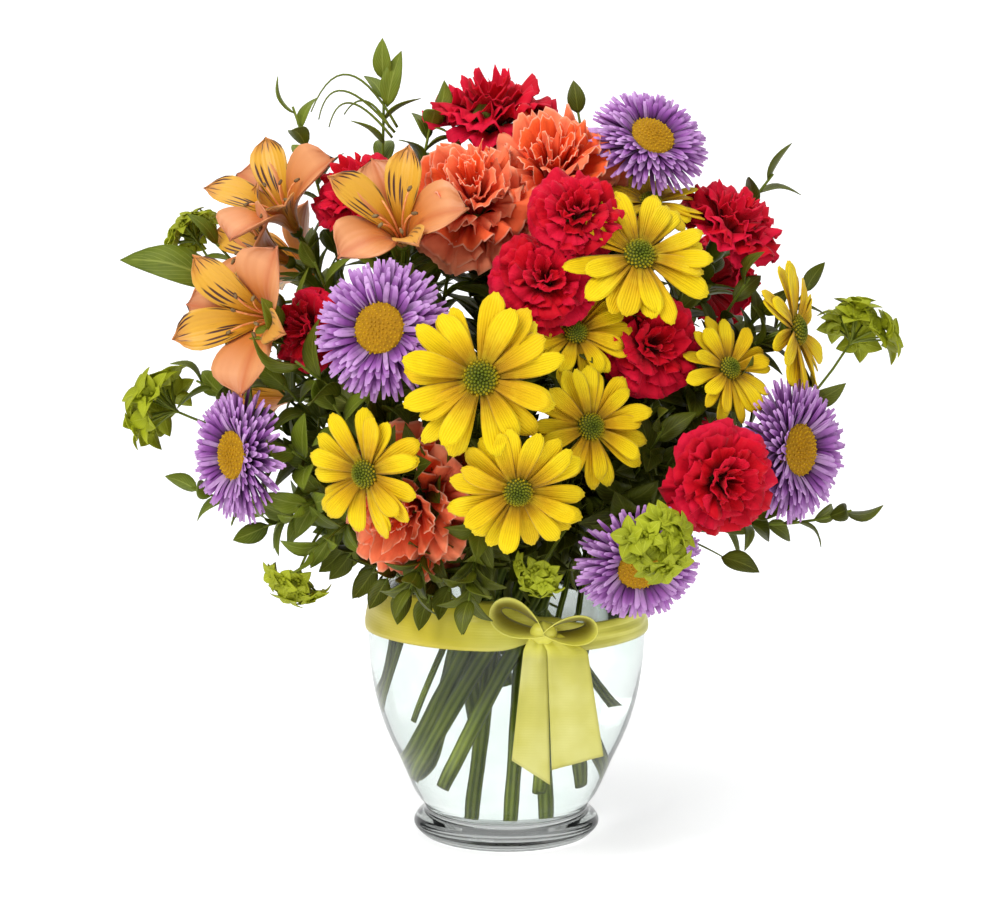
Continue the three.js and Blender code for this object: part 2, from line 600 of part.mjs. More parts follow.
// One loop of the bow: a flat ring of ribbon whose opening faces the front, leaning from the knot
function bowLoop(lean, length, height) {
  const middle = length / 2 - 1.3;
  const ring = new THREE.Shape().absellipse(middle, 0, length / 2, height / 2, 0, FULL_TURN);
  ring.holes.push(new THREE.Path().absellipse(middle, 0, length / 2 - 1, height / 2 - 1, 0, FULL_TURN));
  const loop = new THREE.ExtrudeGeometry(ring, { depth: LOOP_WIDTH, curveSegments: 4, bevelEnabled: false });
  return solid(loop.translate(0, 0, -2.6).rotateX(Math.PI / 2).rotateY(-radians(lean)));
}

// A tail of ribbon that hangs straight down, with its end cut on a slant
function tail(corners, depth) {
  const sheet = new THREE.Shape(corners.map(([x, z]) => new THREE.Vector2(x, z)));
  const strip = new THREE.ExtrudeGeometry(sheet, { depth: TAIL_THICKNESS, bevelEnabled: false });
  return solid(strip.rotateX(Math.PI / 2).translate(0, depth, 0));
}

const bowPlace = new THREE.Matrix4().makeTranslation(...BOW_AT);
const ribbonBow = fuse([
  moved(solid(new THREE.SphereGeometry(4.6, 5, 3).scale(1, 0.85, 1)), bowPlace),
  moved(bowLoop(140, 25, 12), bowPlace),
  moved(bowLoop(12, 20, 14), bowPlace),
  tail([[8, 94], [5.8, 84], [2, 44], [16.1, 34.3], [17.6, 60], [18, 94]], BOW_AT[1] + 2.4),
  tail([[11, 94], [15.8, 60], [17.3, 40.2], [36.9, 46], [31.5, 85], [20, 94]], BOW_AT[1] + 1.2),
]);

// ---------------------------------------------------------------- the bouquet
const bouquet = new THREE.Group();
const placed = []; // the bodies that later ones give way to, each with the same body grown by the gap

const near = (a, b) => [0, 1, 2].every((k) => a.min[k] < b.max[k] && b.min[k] < a.max[k]);

// Takes from a body what it would share with the bodies already placed, and the gap round them
function cleared(body, others = placed) {
  const box = body.boundingBox();
  return others.filter((other) => near(box, other.grown.boundingBox())).reduce((rest, other) => {
    const left = rest.subtract(other.grown);
    return left.intersect(other.body).isEmpty() ? left : left.subtract(other.body);
  }, body);
}

function addMesh(name, body, material) {
  const { vertProperties, triVerts } = body.getMesh();
  const geometry = new THREE.BufferGeometry();
  geometry.setAttribute("position", new THREE.BufferAttribute(vertProperties, 3));
  geometry.setIndex(new THREE.BufferAttribute(triVerts, 1));
  geometry.computeVertexNormals();
  const mesh = new THREE.Mesh(geometry, MATERIALS[material]);
  mesh.name = name;
  bouquet.add(mesh);
}

const petalsOf = (name, grow) => moved(kindOf(name).petals(BLOOMS[name].r, grow), placeOf(BLOOMS[name]));
// The same petals on a root of their own, for a bloom that is one body with its stem
const rootedPetalsOf = (name, grow) => {
  const { petals, root } = kindOf(name);
  return moved(petals(BLOOMS[name].r, grow, root(BLOOMS[name].r)), placeOf(BLOOMS[name]));
};

addMesh("vase", vase, "glass");
addMesh("ribbon_band", ribbonBand, "ribbon");
addMesh("ribbon_bow", ribbonBow, "ribbon");
placed.push({ name: "ribbon_bow", body: ribbonBow, grown: ribbonBow });

// Stems first: they keep their full length, and what grows round them gives way
const woods = {};
for (const [name, spray] of Object.entries({ ...SPRAYS, ...WHOLE_SPRAYS })) {
  const cups = name in SPRAYS;
  woods[name] = mainBody(cleared(spraySolid(spray, 0, cups)));
  placed.push({ name, body: woods[name], grown: spraySolid(spray, GAP, cups) });
}
for (const [name, stem] of Object.entries(LEAFY_STEMS)) {
  woods[name] = mainBody(cleared(leafyWood(stem, 0)));
  placed.push({ name, body: woods[name], grown: leafyWood(stem, GAP) });
}
for (const name of Object.keys(SPRAYS)) addMesh(name, woods[name], "stem");

// Then the blooms, in the order of the sprays: the ones that stand in front come first
function place(name, meshName, make, material) {
  const body = mainBody(cleared(make(0)));
  addMesh(meshName, body, material);
  placed.push({ name, body, grown: make(GAP) });
}
for (const name of Object.values(SPRAYS).flatMap(({ blooms }) => blooms)) {
  const { colour } = kindOf(name);
  place(name, name, (grow) => petalsOf(name, grow), colour);
  if (colour !== "aster") continue;
  const disc = (grow) => moved(asterDisc(BLOOMS[name].r, grow), placeOf(BLOOMS[name]));
  place(name, name.replace("aster", "aster_disc"), disc, "asterDisc");
}

// A body that grows on a stem already placed is cut by all but that stem, and fused with it
function placeOnStem(name, make, material) {
  const others = placed.filter((other) => other.name !== name);
  const body = mainBody(fuse([woods[name], cleared(make(0), others)]));
  addMesh(name, body, material);
  placed.push({ name: `${name} top`, body, grown: make(GAP) });
}
for (const [name, { blooms }] of Object.entries(WHOLE_SPRAYS)) {
  const heads = (grow) => fuse(blooms.map((bloom) => rootedPetalsOf(bloom, grow)));
  placeOnStem(name, heads, kindOf(blooms[0]).colour);
}
for (const [name, stem] of Object.entries(LEAFY_STEMS)) {
  placeOnStem(name, (grow) => leafyGreen(stem, grow), stem.colour);
}

addMesh("water", mainBody(cleared(waterBody)), "water");

export default bouquet;
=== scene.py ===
import random
from math import atan2, cos, exp, pi, radians, sin, sqrt, tau

import bmesh
import bpy
from mathutils import Matrix, Vector, noise
from mathutils.geometry import interpolate_bezier


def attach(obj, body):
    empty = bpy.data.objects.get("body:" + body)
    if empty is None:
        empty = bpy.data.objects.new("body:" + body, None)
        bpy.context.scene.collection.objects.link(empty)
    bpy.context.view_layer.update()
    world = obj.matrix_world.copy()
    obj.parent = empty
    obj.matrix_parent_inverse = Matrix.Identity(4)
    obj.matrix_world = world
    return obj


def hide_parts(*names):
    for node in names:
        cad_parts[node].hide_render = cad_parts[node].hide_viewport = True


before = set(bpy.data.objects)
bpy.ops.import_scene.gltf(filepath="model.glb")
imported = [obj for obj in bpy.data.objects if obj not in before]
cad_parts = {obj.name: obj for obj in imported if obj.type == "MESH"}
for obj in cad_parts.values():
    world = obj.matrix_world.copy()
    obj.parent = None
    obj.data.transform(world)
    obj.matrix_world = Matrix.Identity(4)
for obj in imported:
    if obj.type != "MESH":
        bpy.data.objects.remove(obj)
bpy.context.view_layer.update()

# ---- the glass vase
# A small ginger-jar vase of soda-lime glass with a wide shoulder, a short neck, a rolled lip and a thick ring
# foot. It is blown into a mould, so its wall is a little uneven, and its edges and solid foot look grey.
# Sizes are in millimetres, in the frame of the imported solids; piece() turns them to metres.
VASE_OUTSIDE = [
    (35.5, 0.4), (37.9, 3.4), (36.6, 6.4), (33.4, 9), (34, 12), (37.8, 17.5), (43.7, 31), (49.6, 44),
    (53.4, 57), (55.4, 70), (56.2, 80), (56.3, 87), (54.9, 95), (51.4, 102), (46.4, 109), (41.2, 115),
    (38.8, 119), (38.4, 122), (40, 127.5), (42.8, 132),
]
VASE_LIP = [(43.5, 133.2), (43.2, 133.9), (42.6, 134), (41.9, 133.6)]
VASE_INSIDE = [
    (38, 128), (35.9, 122.4), (36.1, 119), (38.8, 114), (43.6, 107.6), (48.6, 100.6), (51.9, 93.5),
    (53.3, 86), (53.4, 78), (52.6, 70), (50.3, 57), (46.8, 44.4), (40.9, 31), (34.8, 18.4), (31.6, 13),
    (27.5, 10),
]


def linear(colour):
    """A colour written as sRGB hex, in the linear light that shaders take"""
    parts = [int(colour[i:i + 2], 16) / 255 for i in (1, 3, 5)]
    return [*(c / 12.92 if c <= 0.04045 else ((c + 0.055) / 1.055) ** 2.4 for c in parts), 1]


def new_material(name):
    """A material, the function that adds its nodes, and where its points are on the object"""
    made = bpy.data.materials.new(name)
    made.use_nodes = True
    tree = made.node_tree
    tree.nodes.clear()

    def add(kind, inputs=(), stops=(), out=0, **settings):
        """Adds one node with its settings, its inputs' values or links, by name or in their own order, and a
        ramp's stops, and gives its output"""
        node = tree.nodes.new("ShaderNode" + kind)
        for key, value in settings.items():
            setattr(node, key, value)
        for key, value in inputs.items() if isinstance(inputs, dict) else enumerate(inputs):
            if isinstance(value, bpy.types.NodeSocket):
                tree.links.new(value, node.inputs[key])
            else:
                node.inputs[key].default_value = linear(value) if isinstance(value, str) else value
        if stops:
            ramp = node.color_ramp.elements
            while len(ramp) < len(stops):
                ramp.new(0.5)
            for stop, (at, colour) in zip(ramp, stops):
                stop.position, stop.color = at, linear(colour)
        return node if out is None else node.outputs[out]

    return made, add, add("TexCoord", out="Object")


def surface(add, inputs, bump=None, **body):
    """The material's shader and its way out. bump is a relief: its pattern, strength and depth in metres"""
    if bump:
        pattern, strength, depth = bump
        inputs["Normal"] = add("Bump", {"Height": pattern, "Strength": strength, "Distance": depth})
    add("OutputMaterial", {"Surface": add("BsdfPrincipled", inputs), **body}, out=None)


def fresh():
    """An empty mesh with the UV map that petals and leaves are patterned by, and a tone for each point"""
    bm = bmesh.new()
    bm.loops.layers.uv.new("UVMap")
    bm.verts.layers.float.new("tone")
    return bm


def smoothed(points, steps):
    """A smooth line through points"""
    ends = [points[0], *points, points[-1]]
    line = []
    for a, b, c, d in zip(ends, ends[1:], ends[2:], ends[3:]):
        line += interpolate_bezier(b, b + (c - a) / 6, c - (d - b) / 6, c, steps + 1)[:-1]
    return [*line, Vector(points[-1])]


def spun(bm, outline, around, place=Matrix()):
    """A round body spun from an outline of (radius, height) that starts and ends on its axis"""
    body = bmesh.new()
    line = [body.verts.new((r, 0, z)) for r, z in outline]
    edges = [body.edges.new(pair) for pair in zip(line, line[1:])]
    bmesh.ops.spin(
        body, geom=line + edges, axis=(0, 0, 1), angle=tau, steps=around, use_merge=True, use_duplicate=False)
    bmesh.ops.remove_doubles(body, verts=body.verts, dist=1e-4)
    bmesh.ops.recalc_face_normals(body, faces=body.faces)
    body.transform(place)
    mesh = bpy.data.meshes.new("turned")
    body.to_mesh(mesh)
    body.free()
    bm.from_mesh(mesh)
    bpy.data.meshes.remove(mesh)


def shown(name, bm, finish, smooth=True):
    """Puts a mesh into the scene as an object of one material"""
    mesh = bpy.data.meshes.new(name)
    bm.to_mesh(mesh)
    bm.free()
    if smooth:
        mesh.shade_smooth()
    mesh.materials.append(finish)
    made = bpy.data.objects.new(name, mesh)
    bpy.context.scene.collection.objects.link(made)
    return made


def piece(name, bm, finish, slot, *stands_for, wall=0, smooth=True):
    """Makes one piece of the bouquet from its mesh in millimetres. wall is the thickness of a thin one"""
    bmesh.ops.scale(bm, vec=(0.001, 0.001, 0.001), verts=bm.verts)
    made = shown(name, bm, finish, smooth)
    if wall:
        made.modifiers.new("wall", "SOLIDIFY").thickness = wall * 0.001
        made.modifiers["wall"].offset = 0
    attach(made, "root")
    if stands_for:
        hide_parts(*stands_for)
    return made


# Blown soda-lime glass: clear with a faint grey-green body, fire-polished, with marks too faint to dull it.
glass, add, where = new_material("blown_soda_lime_glass")
marks = add("TexNoise", {"Vector": where, "Scale": 55, "Detail": 3})
waves = add("TexNoise", {"Vector": where, "Scale": 22, "Detail": 1})
surface(add, {
    "Base Color": add("ValToRGB", [marks], [(0.3, "#EFF4F2"), (0.7, "#FBFDFC")]),
    "Roughness": add("MapRange", [marks, 0, 1, 0, 0.02]),
    "IOR": 1.5,
    "Specular Tint": "#6E6E6E",
    "Transmission Weight": 1,
}, bump=(waves, 0.05, 0.002), Volume=add("VolumeAbsorption", {"Color": "#A4A4A2", "Density": 18}))

vase_line = [Vector((r, 0, z)) for r, z in VASE_OUTSIDE + VASE_LIP + VASE_INSIDE]
vase_outline = [(0, 0), (34.6, 0), *((p.x, p.z) for p in smoothed(vase_line, 3)), (0, 10)]
bm = fresh()
spun(bm, vase_outline, 96)
# the clear glass and the water cast no shadow, so that light reaches the stems in them
piece("glass_vase", bm, glass, "glass", "vase").visible_shadow = False


# ---- the water
# Clean tap water that fills the vase to under the ribbon.
# It wets the glass, so its edge climbs the wall a little.
WATER_LEVEL = 92
CLIMB = 1.2

water, add, where = new_material("tap_water")
specks = add("TexNoise", {"Vector": where, "Scale": 90, "Detail": 2})
surface(add, {
    "Base Color": add("ValToRGB", [specks], [(0.35, "#F6FBF8"), (0.65, "#FEFFFE")]),
    "Roughness": 0,
    "IOR": 1.333,
    "Transmission Weight": 1,
}, bump=(specks, 0.02, 0.001))

wall_line = [Vector((r + 0.12, 0, z)) for r, z in reversed(VASE_INSIDE) if z < 90]
wet = [(p.x, p.z) for p in smoothed(wall_line, 3)]
bm = fresh()
spun(bm, [(0, 9.9), *wet, (52.4, WATER_LEVEL + CLIMB - 0.2), (51.9, WATER_LEVEL + 0.5), (50, WATER_LEVEL),
          (0, WATER_LEVEL)], 96)
piece("vase_water", bm, water, "water", "water").visible_shadow = False


# ---- the stems
# Cut flower stems, green and faintly ribbed, stripped of leaves below the neck and set slanting, so that they
# cross in a twist at the neck and stand apart on the bottom. Side shoots fork from the trunk to the flowers.
# Each flower: its centre, the way it faces (degrees from the front, degrees up), radius, turn about its stem
BLOOMS = {
    "daisy_1": ((-9, -109, 193), (-2, 8), 30, 4),
    "daisy_2": ((4, -106, 153), (4, -16), 25.5, 10),
    "daisy_3": ((-50, -96, 158), (-36, -2), 26, 0),
    "daisy_4": ((30, -89, 174), (18, 8), 24, 5),
    "daisy_5": ((48, -76, 235), (14, 30), 29, 8),
    "daisy_6": ((82, -64, 193), (34, 22), 21, 0),
    "daisy_7": ((110, -38, 206), (66, 12), 29, 12),
    "daisy_8": ((54, -44, 254), (12, 58), 21, 3),
    "daisy_9": ((25, -76, 207), (10, 22), 21, 9),
    "aster_1": ((-44, -92, 209), (-16, 12), 26, 0),
    "aster_2": ((-100, -55, 160), (-50, 2), 26, 5),
    "aster_3": ((54, -38, 277), (22, 38), 24, 2),
    "aster_4": ((107, -55, 162), (46, 4), 28, 4),
    "aster_5": ((48, -86, 124), (10, -24), 24, 3),
    "mini_1": ((-5, -8, 288.5), (0, 72), 27, 0),
    "mini_2": ((25, -72, 250), (6, 30), 18.5, 20),
    "mini_3": ((86, -30, 246), (48, 54), 22, 10),
    "mini_4": ((14, -74.4, 226), (2, 26), 21, 40),
    "mini_5": ((53, -64, 202), (20, 14), 21.5, 15),
    "mini_6": ((78, -84, 154), (22, -2), 22, 30),
    "mini_7": ((-56, -30, 258), (-26, 46), 20, 0),
    "mini_8": ((-74, -46, 206), (-44, 8), 17, 10),
    "carnation_1": ((18, -34, 264), (4, 42), 30, 0),
    "carnation_2": ((-12, -43, 254), (-6, 34), 28.5, 18),
    "carnation_3": ((-35, -64, 143), (-20, -12), 30, 8),
    "alstro_1": ((-91, -24, 258), (-34, 44), 29, 116),
    "alstro_2": ((-41, -66, 250), (-8, 34), 28, 110),
    "alstro_3": ((-98, -52, 212), (-30, 6), 31, 140),
    "alstro_4": ((-100, -20, 238), (-62, 22), 25, 70),
    "back_daisy_1": ((34, 98, 196), (166, 8), 28, 0),
    "back_daisy_2": ((-14, 96, 158), (188, -8), 25, 6),
    "back_daisy_3": ((-2, 76, 244), (182, 38), 27, 3),
    "back_aster_1": ((-62, 78, 190), (214, 10), 26, 0),
    "back_aster_2": ((-40, 56, 254), (208, 44), 24, 4),
    "back_mini_1": ((78, 70, 158), (134, -4), 21, 0),
    "back_mini_2": ((88, 44, 222), (120, 22), 21, 12),
    "back_mini_3": ((46, 60, 246), (150, 40), 19, 30),
    "back_carnation_1": ((38, 30, 260), (136, 54), 27, 0),
    "back_alstro_1": ((-104, 30, 176), (252, 2), 27, 90),
    "back_alstro_2": ((-92, 40, 232), (238, 30), 26, 80),
}
# Each spray: its ring, its place at the neck in degrees, where it forks, its flowers, and the height that a
# stem cut shorter than the rest ends at
SPRAYS = {
    "daisy_spray_1": ("outer", -82, (-12, -62, 152), ("daisy_1", "daisy_2", "daisy_3"), 0),
    "daisy_spray_2": ("outer", -49, (34, -48, 176), ("daisy_4", "daisy_9", "daisy_5", "daisy_8"), 0),
    "daisy_spray_3": ("outer", 16, (62, -18, 172), ("daisy_6", "daisy_7"), 72),
    "aster_spray_1": ("outer", -146, (-48, -40, 160), ("aster_1", "aster_2"), 46),
    "aster_spray_2": ("outer", -16, (52, -32, 152), ("aster_4", "aster_5"), 0),
    "aster_stem_3": ("inner", 30, None, ("aster_3",), 0),
    "alstro_spray": ("outer", -178, (-62, -12, 196), ("alstro_1", "alstro_2", "alstro_3", "alstro_4"), 62),
    "mini_spray_1": ("inner", -90, (2, -34, 200), ("mini_1", "mini_2", "mini_4"), 0),
    "mini_spray_2": ("inner", -30, (38, -26, 168), ("mini_3", "mini_5", "mini_6"), 0),
    "carnation_stem_1": ("centre", 0, None, ("carnation_1",), 76),
    "carnation_stem_2": ("inner", -150, None, ("carnation_2",), 66),
    "carnation_stem_3": ("outer", -113, None, ("carnation_3",), 0),
    "mini_spray_3": ("inner", 150, (-36, -14, 190), ("mini_7", "mini_8"), 72),
    "back_daisies": ("outer", 82, (4, 48, 164), ("back_daisy_1", "back_daisy_2", "back_daisy_3"), 0),
    "back_asters": ("outer", 115, (-30, 40, 170), ("back_aster_1", "back_aster_2"), 0),
    "back_minis": ("outer", 49, (46, 36, 168), ("back_mini_1", "back_mini_2", "back_mini_3"), 0),
    "back_carnation": ("inner", 90, None, ("back_carnation_1",), 74),
    "back_alstros": ("outer", 148, (-62, 22, 176), ("back_alstro_1", "back_alstro_2"), 68),
}
FUSED = ("mini_spray_3", "back_daisies", "back_asters", "back_minis", "back_carnation", "back_alstros")
# Each ring of stems: radius on the bottom, radius at the neck, stem radius, foot height, degrees of twist
RINGS = {"outer": (33.8, 24.5, 2.7, 25, -118), "inner": (14, 8.4, 2.4, 10.8, -55),
         "centre": (0.6, 0.6, 2.6, 10.8, 0), "wall": (39.6, 33, 1.2, 52, -46)}
NECK_Z = 124
SHOOT_RADIUS = 1.25


def kind_of(bloom):
    return bloom.replace("back_", "").split("_")[0]


def bloom_place(bloom):
    """Stands a flower's own frame, +Z out of its face, where the flower is"""
    at, (side, up), _, roll = BLOOMS[bloom]
    side, up = radians(side), radians(up)
    out = Vector((sin(side) * cos(up), -cos(side) * cos(up), sin(up)))
    turn = Vector((0, 0, 1)).rotation_difference(out).to_matrix().to_4x4()
    return Matrix.Translation(at) @ turn @ Matrix.Rotation(radians(roll), 4, "Z")


def behind(bloom, further=0):
    """Where the stem meets a flower, and points further down its axis"""
    r = BLOOMS[bloom][2]
    depth = {"daisy": 4.6, "aster": 8, "mini": 0.7 * r, "carnation": 0.7 * r, "alstro": 0.74 * r + 0.65}
    return bloom_place(bloom) @ Vector((0, 0, -depth[kind_of(bloom)] - further))


def bend(start, by, end, steps):
    """Points along a curve from start to end that heads for by"""
    start, by, end = Vector(start), Vector(by), Vector(end)
    return interpolate_bezier(start, start + (by - start) / 1.5, end + (by - end) / 1.5, end, steps + 1)


def grown(bm, points, radii, sides=8):
    """A round stem along points, as thick as radii say, closed at both ends"""
    count = len(points)
    ways = [(points[min(i + 1, count - 1)] - points[max(i - 1, 0)]).normalized() for i in range(count)]
    across = [ways[0].orthogonal().normalized()]
    for before, after in zip(ways, ways[1:]):
        across.append(before.rotation_difference(after) @ across[-1])
    made = bmesh.ops.create_grid(bm, x_segments=sides, y_segments=count + 1, size=1, calc_uvs=True)["verts"]
    for point in made:
        row = round((point.co.y + 1) / 2 * (count + 1))
        i = min(max(row - 1, 0), count - 1)
        turn = (point.co.x + 1) * pi
        reach = 0 if row in (0, count + 1) else radii[i]
        other = ways[i].cross(across[i])
        point.co = points[i] + (across[i] * cos(turn) + other * sin(turn)) * reach
    bmesh.ops.remove_doubles(bm, verts=made, dist=1e-4)


def along_line(points, share):
    """A point and the direction at a share of a line of points"""
    at = share * (len(points) - 1)
    i = min(int(at), len(points) - 2)
    return points[i].lerp(points[i + 1], at - i), (points[i + 1] - points[i]).normalized()


def stem_ends(ring, turn, cut_at=0):
    foot, neck, radius, foot_z, twist = RINGS[ring]
    top, low = radians(turn), radians(turn + twist)
    bottom = Vector((foot * cos(low), foot * sin(low), foot_z))
    collar = Vector((neck * cos(top), neck * sin(top), NECK_Z))
    share = max(0, cut_at - foot_z) / (NECK_Z - foot_z)
    return bottom.lerp(collar, share), collar, radius


# Fresh green stem: a waxy skin in mid green with paler ribs along it and darker patches.
stem_skin, add, where = new_material("green_stem_skin")
along = add("UVMap", out="UV")
ribs = add("TexWave", {"Vector": along, "Scale": 2.2, "Distortion": 1.2, "Detail": 2})
patches = add("TexNoise", {"Vector": where, "Scale": 42, "Detail": 4})
skin = add("ValToRGB", [patches], [(0.25, "#343E06"), (0.5, "#55650E"), (0.75, "#84902E")])
ribbed = add("MixRGB", [0.35, skin, add("ValToRGB", [ribs], [(0.2, "#3E4804"), (0.9, "#A4AC4C")])])
surface(add, {
    "Base Color": ribbed,
    "Roughness": add("MapRange", [patches, 0, 1, 0.32, 0.55]),
    "Specular IOR Level": 0.15,
}, bump=(ribs, 0.3, 0.0004))

stem_lines = {}  # for each spray, the lines of its trunk and shoots above the neck, which carry its leaves
for name, (ring, turn, fork, blooms, cut_at) in SPRAYS.items():
    foot, neck, radius = stem_ends(ring, turn, cut_at)
    onward = (neck - foot).normalized()
    if fork:
        upper = bend(neck, neck + onward * 16, fork, 10)
    else:
        upper = bend(neck, behind(blooms[0], 40), behind(blooms[0]), 16)
    lower = [foot.lerp(neck, i / 12) for i in range(12)]
    # a leaf joint swells the stem every 24 mm or so
    thick = [radius * (1 + 0.12 * exp(-((i * 9.6 % 24 - 12) / 3) ** 2)) for i in range(len(lower + upper))]
    bm = fresh()
    grown(bm, lower + upper, thick, 10)
    lines = [upper]
    for i, bloom in enumerate(blooms if fork else ()):
        start, _ = along_line(upper, 0.98 - 0.09 * i)
        shoot = bend(start, behind(bloom, 14), behind(bloom), 10)
        grown(bm, shoot, [SHOOT_RADIUS * (1.25 - 0.25 * j / 10) for j in range(11)], 8)
        lines.append(shoot)
    for bloom in blooms:
        r = BLOOMS[bloom][2]
        cups = {
            "daisy": [(0, -6.4), (2.2, -5.6), (0.2 * r, -3.2), (0.27 * r, -1.3), (0.2 * r, -0.7), (0, -0.6)],
            "aster": [(0, -9), (2, -8.2), (0.2 * r, -6.6), (0.34 * r, -3.2), (0.3 * r, -2.4), (0, -2.2)],
            "alstro": [(0, -0.84 * r), (1.9, -0.8 * r), (2.7, -0.74 * r), (2.4, -0.66 * r), (0, -0.64 * r)],
        }.get(kind_of(bloom), [
            (0, -0.8 * r), (0.1 * r, -0.76 * r), (0.17 * r, -0.6 * r), (0.19 * r, -0.3 * r),
            (0.21 * r, -0.12 * r), (0, -0.14 * r)])
        spun(bm, cups, 12, bloom_place(bloom))
    stem_lines[name] = lines
    piece(name + "_stems" if name in FUSED else name + "_green", bm, stem_skin, "stem", name)


# ---- the yellow daisies
# Daisy chrysanthemums: narrow spoon-shaped ray petals, unevenly spread, each with two furrows and a blunt tip,
# in a green cup round a low button of tight florets, olive in the middle and yellower where they open.
DAISY_RINGS = [(13, 1, 0, 0.13, 0), (8, 0.92, 0.12, 0.27, 0.5)]  # petals, reach, low rise, high rise, turn
DAISY_HEART = 0.205  # the button's radius, as a share of the daisy's
GOLDEN_TURN = 2.39996  # from one floret to the next round a dome, in radians


def petal(bm, across, along, place, tone, shape):
    """One petal or leaf: shape(-1 to 1 across it, 0 to 1 along it) places each point of a flat grid"""
    layer = bm.verts.layers.float["tone"]
    grid = bmesh.ops.create_grid(bm, x_segments=across, y_segments=along, size=1, calc_uvs=True)
    for point in grid["verts"]:
        point[layer] = tone
        point.co = place @ Vector(shape(point.co.x, (point.co.y + 1) / 2))


def florets(bm, place, radius, height, low, count, size):
    """A low dome packed with florets in a spiral. Their tone runs from 0 in the middle to 1 outside"""
    layer = bm.verts.layers.float["tone"]
    spun(bm, [(0, low - 0.5), (radius * 0.98, low - 0.3), (radius, low + 0.3),
              (radius * 0.8, low + 0.64 * height), (radius * 0.45, low + 0.9 * height), (0, low + height)],
         20, place)
    for i in range(count):
        share = sqrt((i + 0.6) / count)
        turn = i * GOLDEN_TURN
        z = low + height * (1 - 0.75 * share ** 2.4)
        spot = place @ Matrix.Rotation(turn, 4, "Z") @ Matrix.Translation((share * radius * 0.96, 0, z))
        cone = bmesh.ops.create_cone(
            bm, cap_ends=True, segments=5, radius1=size, radius2=size * 0.55, depth=size * 2.2,
            matrix=spot @ Matrix.Rotation(share * 0.9, 4, "Y"))
        for point in cone["verts"]:
            point[layer] = share


def groups(kind, whole=False):
    """Each solid, or each whole spray, that holds flowers of one kind, with those flowers"""
    for name, (_, _, _, blooms, _) in SPRAYS.items():
        if kind_of(blooms[0]) == kind:
            yield from [(name, blooms)] if whole or name in FUSED else [(bloom, (bloom,)) for bloom in blooms]


def petal_material(name):
    """A material for petals or leaves, with where a point is across and along one, and the point's tone"""
    made, add, where = new_material(name)
    flat = add("UVMap", out="UV")
    parts = add("SeparateXYZ", [flat], out=None).outputs
    return made, add, where, flat, parts["X"], parts["Y"], add("Attribute", out="Fac", attribute_name="tone")


# Chrysanthemum ray petal: saturated yellow, darkening from near its middle to the root and in its furrows,
# partly its own golden colour and partly painted shade, olive at the root under the button; matt.
daisy_skin, add, where, flat, _, along, tone = petal_material("yellow_ray_petal")
veins = add("TexWave", {"Vector": flat, "Scale": 2.6, "Distortion": 0.8, "Detail": 1})
mottle = add("TexNoise", {"Vector": where, "Scale": 130, "Detail": 3})
# partly painted shade: the ramp deepens from yellow to gold, and to dark olive at the root where the button
# shades the petals
down = add("ValToRGB", [along], [
    (0.08, "#6E5C00"), (0.24, "#A47800"), (0.42, "#D0A200"), (0.66, "#E8C600"), (1, "#F0D208")])
older = add("MixRGB", [add("MapRange", [tone, 0.55, 1, 0, 0.4]), down, "#D89C00"])
veined = add("MixRGB", [add("MapRange", [veins, 0, 0.45, 0.28, 0]), older, "#B48000"])
surface(add, {
    "Base Color": add("MixRGB", [add("MapRange", [mottle, 0.5, 0.8, 0, 0.4]), veined, "#F8E22C"]),
    "Roughness": add("MapRange", [mottle, 0, 1, 0.5, 0.7]),
    "Sheen Weight": 0.06,
    "Specular IOR Level": 0.15,
}, bump=(veins, 0.5, 0.0003))


# Packed florets: rings is a ramp from the middle to where the florets open, and gap colours the spaces between.
def floret_skin(name, grain, rings, gap, roughness):
    made, add, where = new_material(name)
    mottle = add("TexNoise", {"Vector": where, "Scale": grain, "Detail": 2})
    ripe = add("ValToRGB", [add("Attribute", out="Fac", attribute_name="tone")], rings)
    surface(add, {
        "Base Color": add("MixRGB", [add("MapRange", [mottle, 0.4, 0.7, 0, 0.5]), ripe, gap]),
        "Roughness": roughness,
        "Specular IOR Level": 0.25,
    }, bump=(mottle, 0.4, 0.0003))
    return made


# Daisy button: tight florets, dark olive in the middle, yellow-green where the outer ones open.
button_skin = floret_skin("green_button_florets", 420, [
    (0, "#46500A"), (0.35, "#66700A"), (0.62, "#80800E"), (0.85, "#9C900E"), (1, "#BC9A00")], "#444C04", 0.7)


def flower_pieces(kind, part, finish, slot, grow, *more, whole=False, **how):
    """The same part of every flower of one kind, as a piece for each solid or spray that holds them"""
    for name, blooms in groups(kind, whole):
        bm = fresh()
        for bloom in blooms:
            grow(bm, bloom_place(bloom), BLOOMS[bloom][2], random.Random(bloom), *more)
        piece(name + part, bm, finish, slot, name, **how)


def daisy_petals(bm, place, r, luck):
    for count, reach, low, high, start in DAISY_RINGS:
        for i in range(count):
            turn = (i + start + luck.uniform(-0.36, 0.36)) / count * tau
            length, width = r * reach * luck.uniform(0.88, 1.04), r * luck.uniform(0.115, 0.16)
            rise, droop = r * luck.uniform(low, high), r * luck.uniform(0, 0.2)
            lean = luck.uniform(-0.45, 0.45)
            sway, widest = luck.uniform(-0.09, 0.09) * r, luck.uniform(0.66, 0.8)

            def shape(x, s):
                spoon = 0.36 + 0.64 * sin(min(1, s / widest) * pi / 2) ** 1.5
                tip = 1 - 0.42 * max(0, (s - widest) / (1 - widest)) ** 2.4
                half = width * spoon * tip
                notched = 0.018 * (0.5 + 0.5 * cos(3 * pi * x)) + 0.07 * x * x
                out = 0.1 * r + (length - 0.1 * r) * (s - notched * s ** 6)
                furrow = 0.014 * r * cos(3 * pi * x) * sin(pi * min(1, s + 0.08))
                z = rise * s ** 0.8 - droop * s ** 2.5 + furrow + lean * half * x * s
                return out, half * x + sway * s * s, z + 0.35 * half * x * x * (1.1 - s)

            petal(bm, 6, 9, place @ Matrix.Rotation(turn, 4, "Z"), luck.random(), shape)


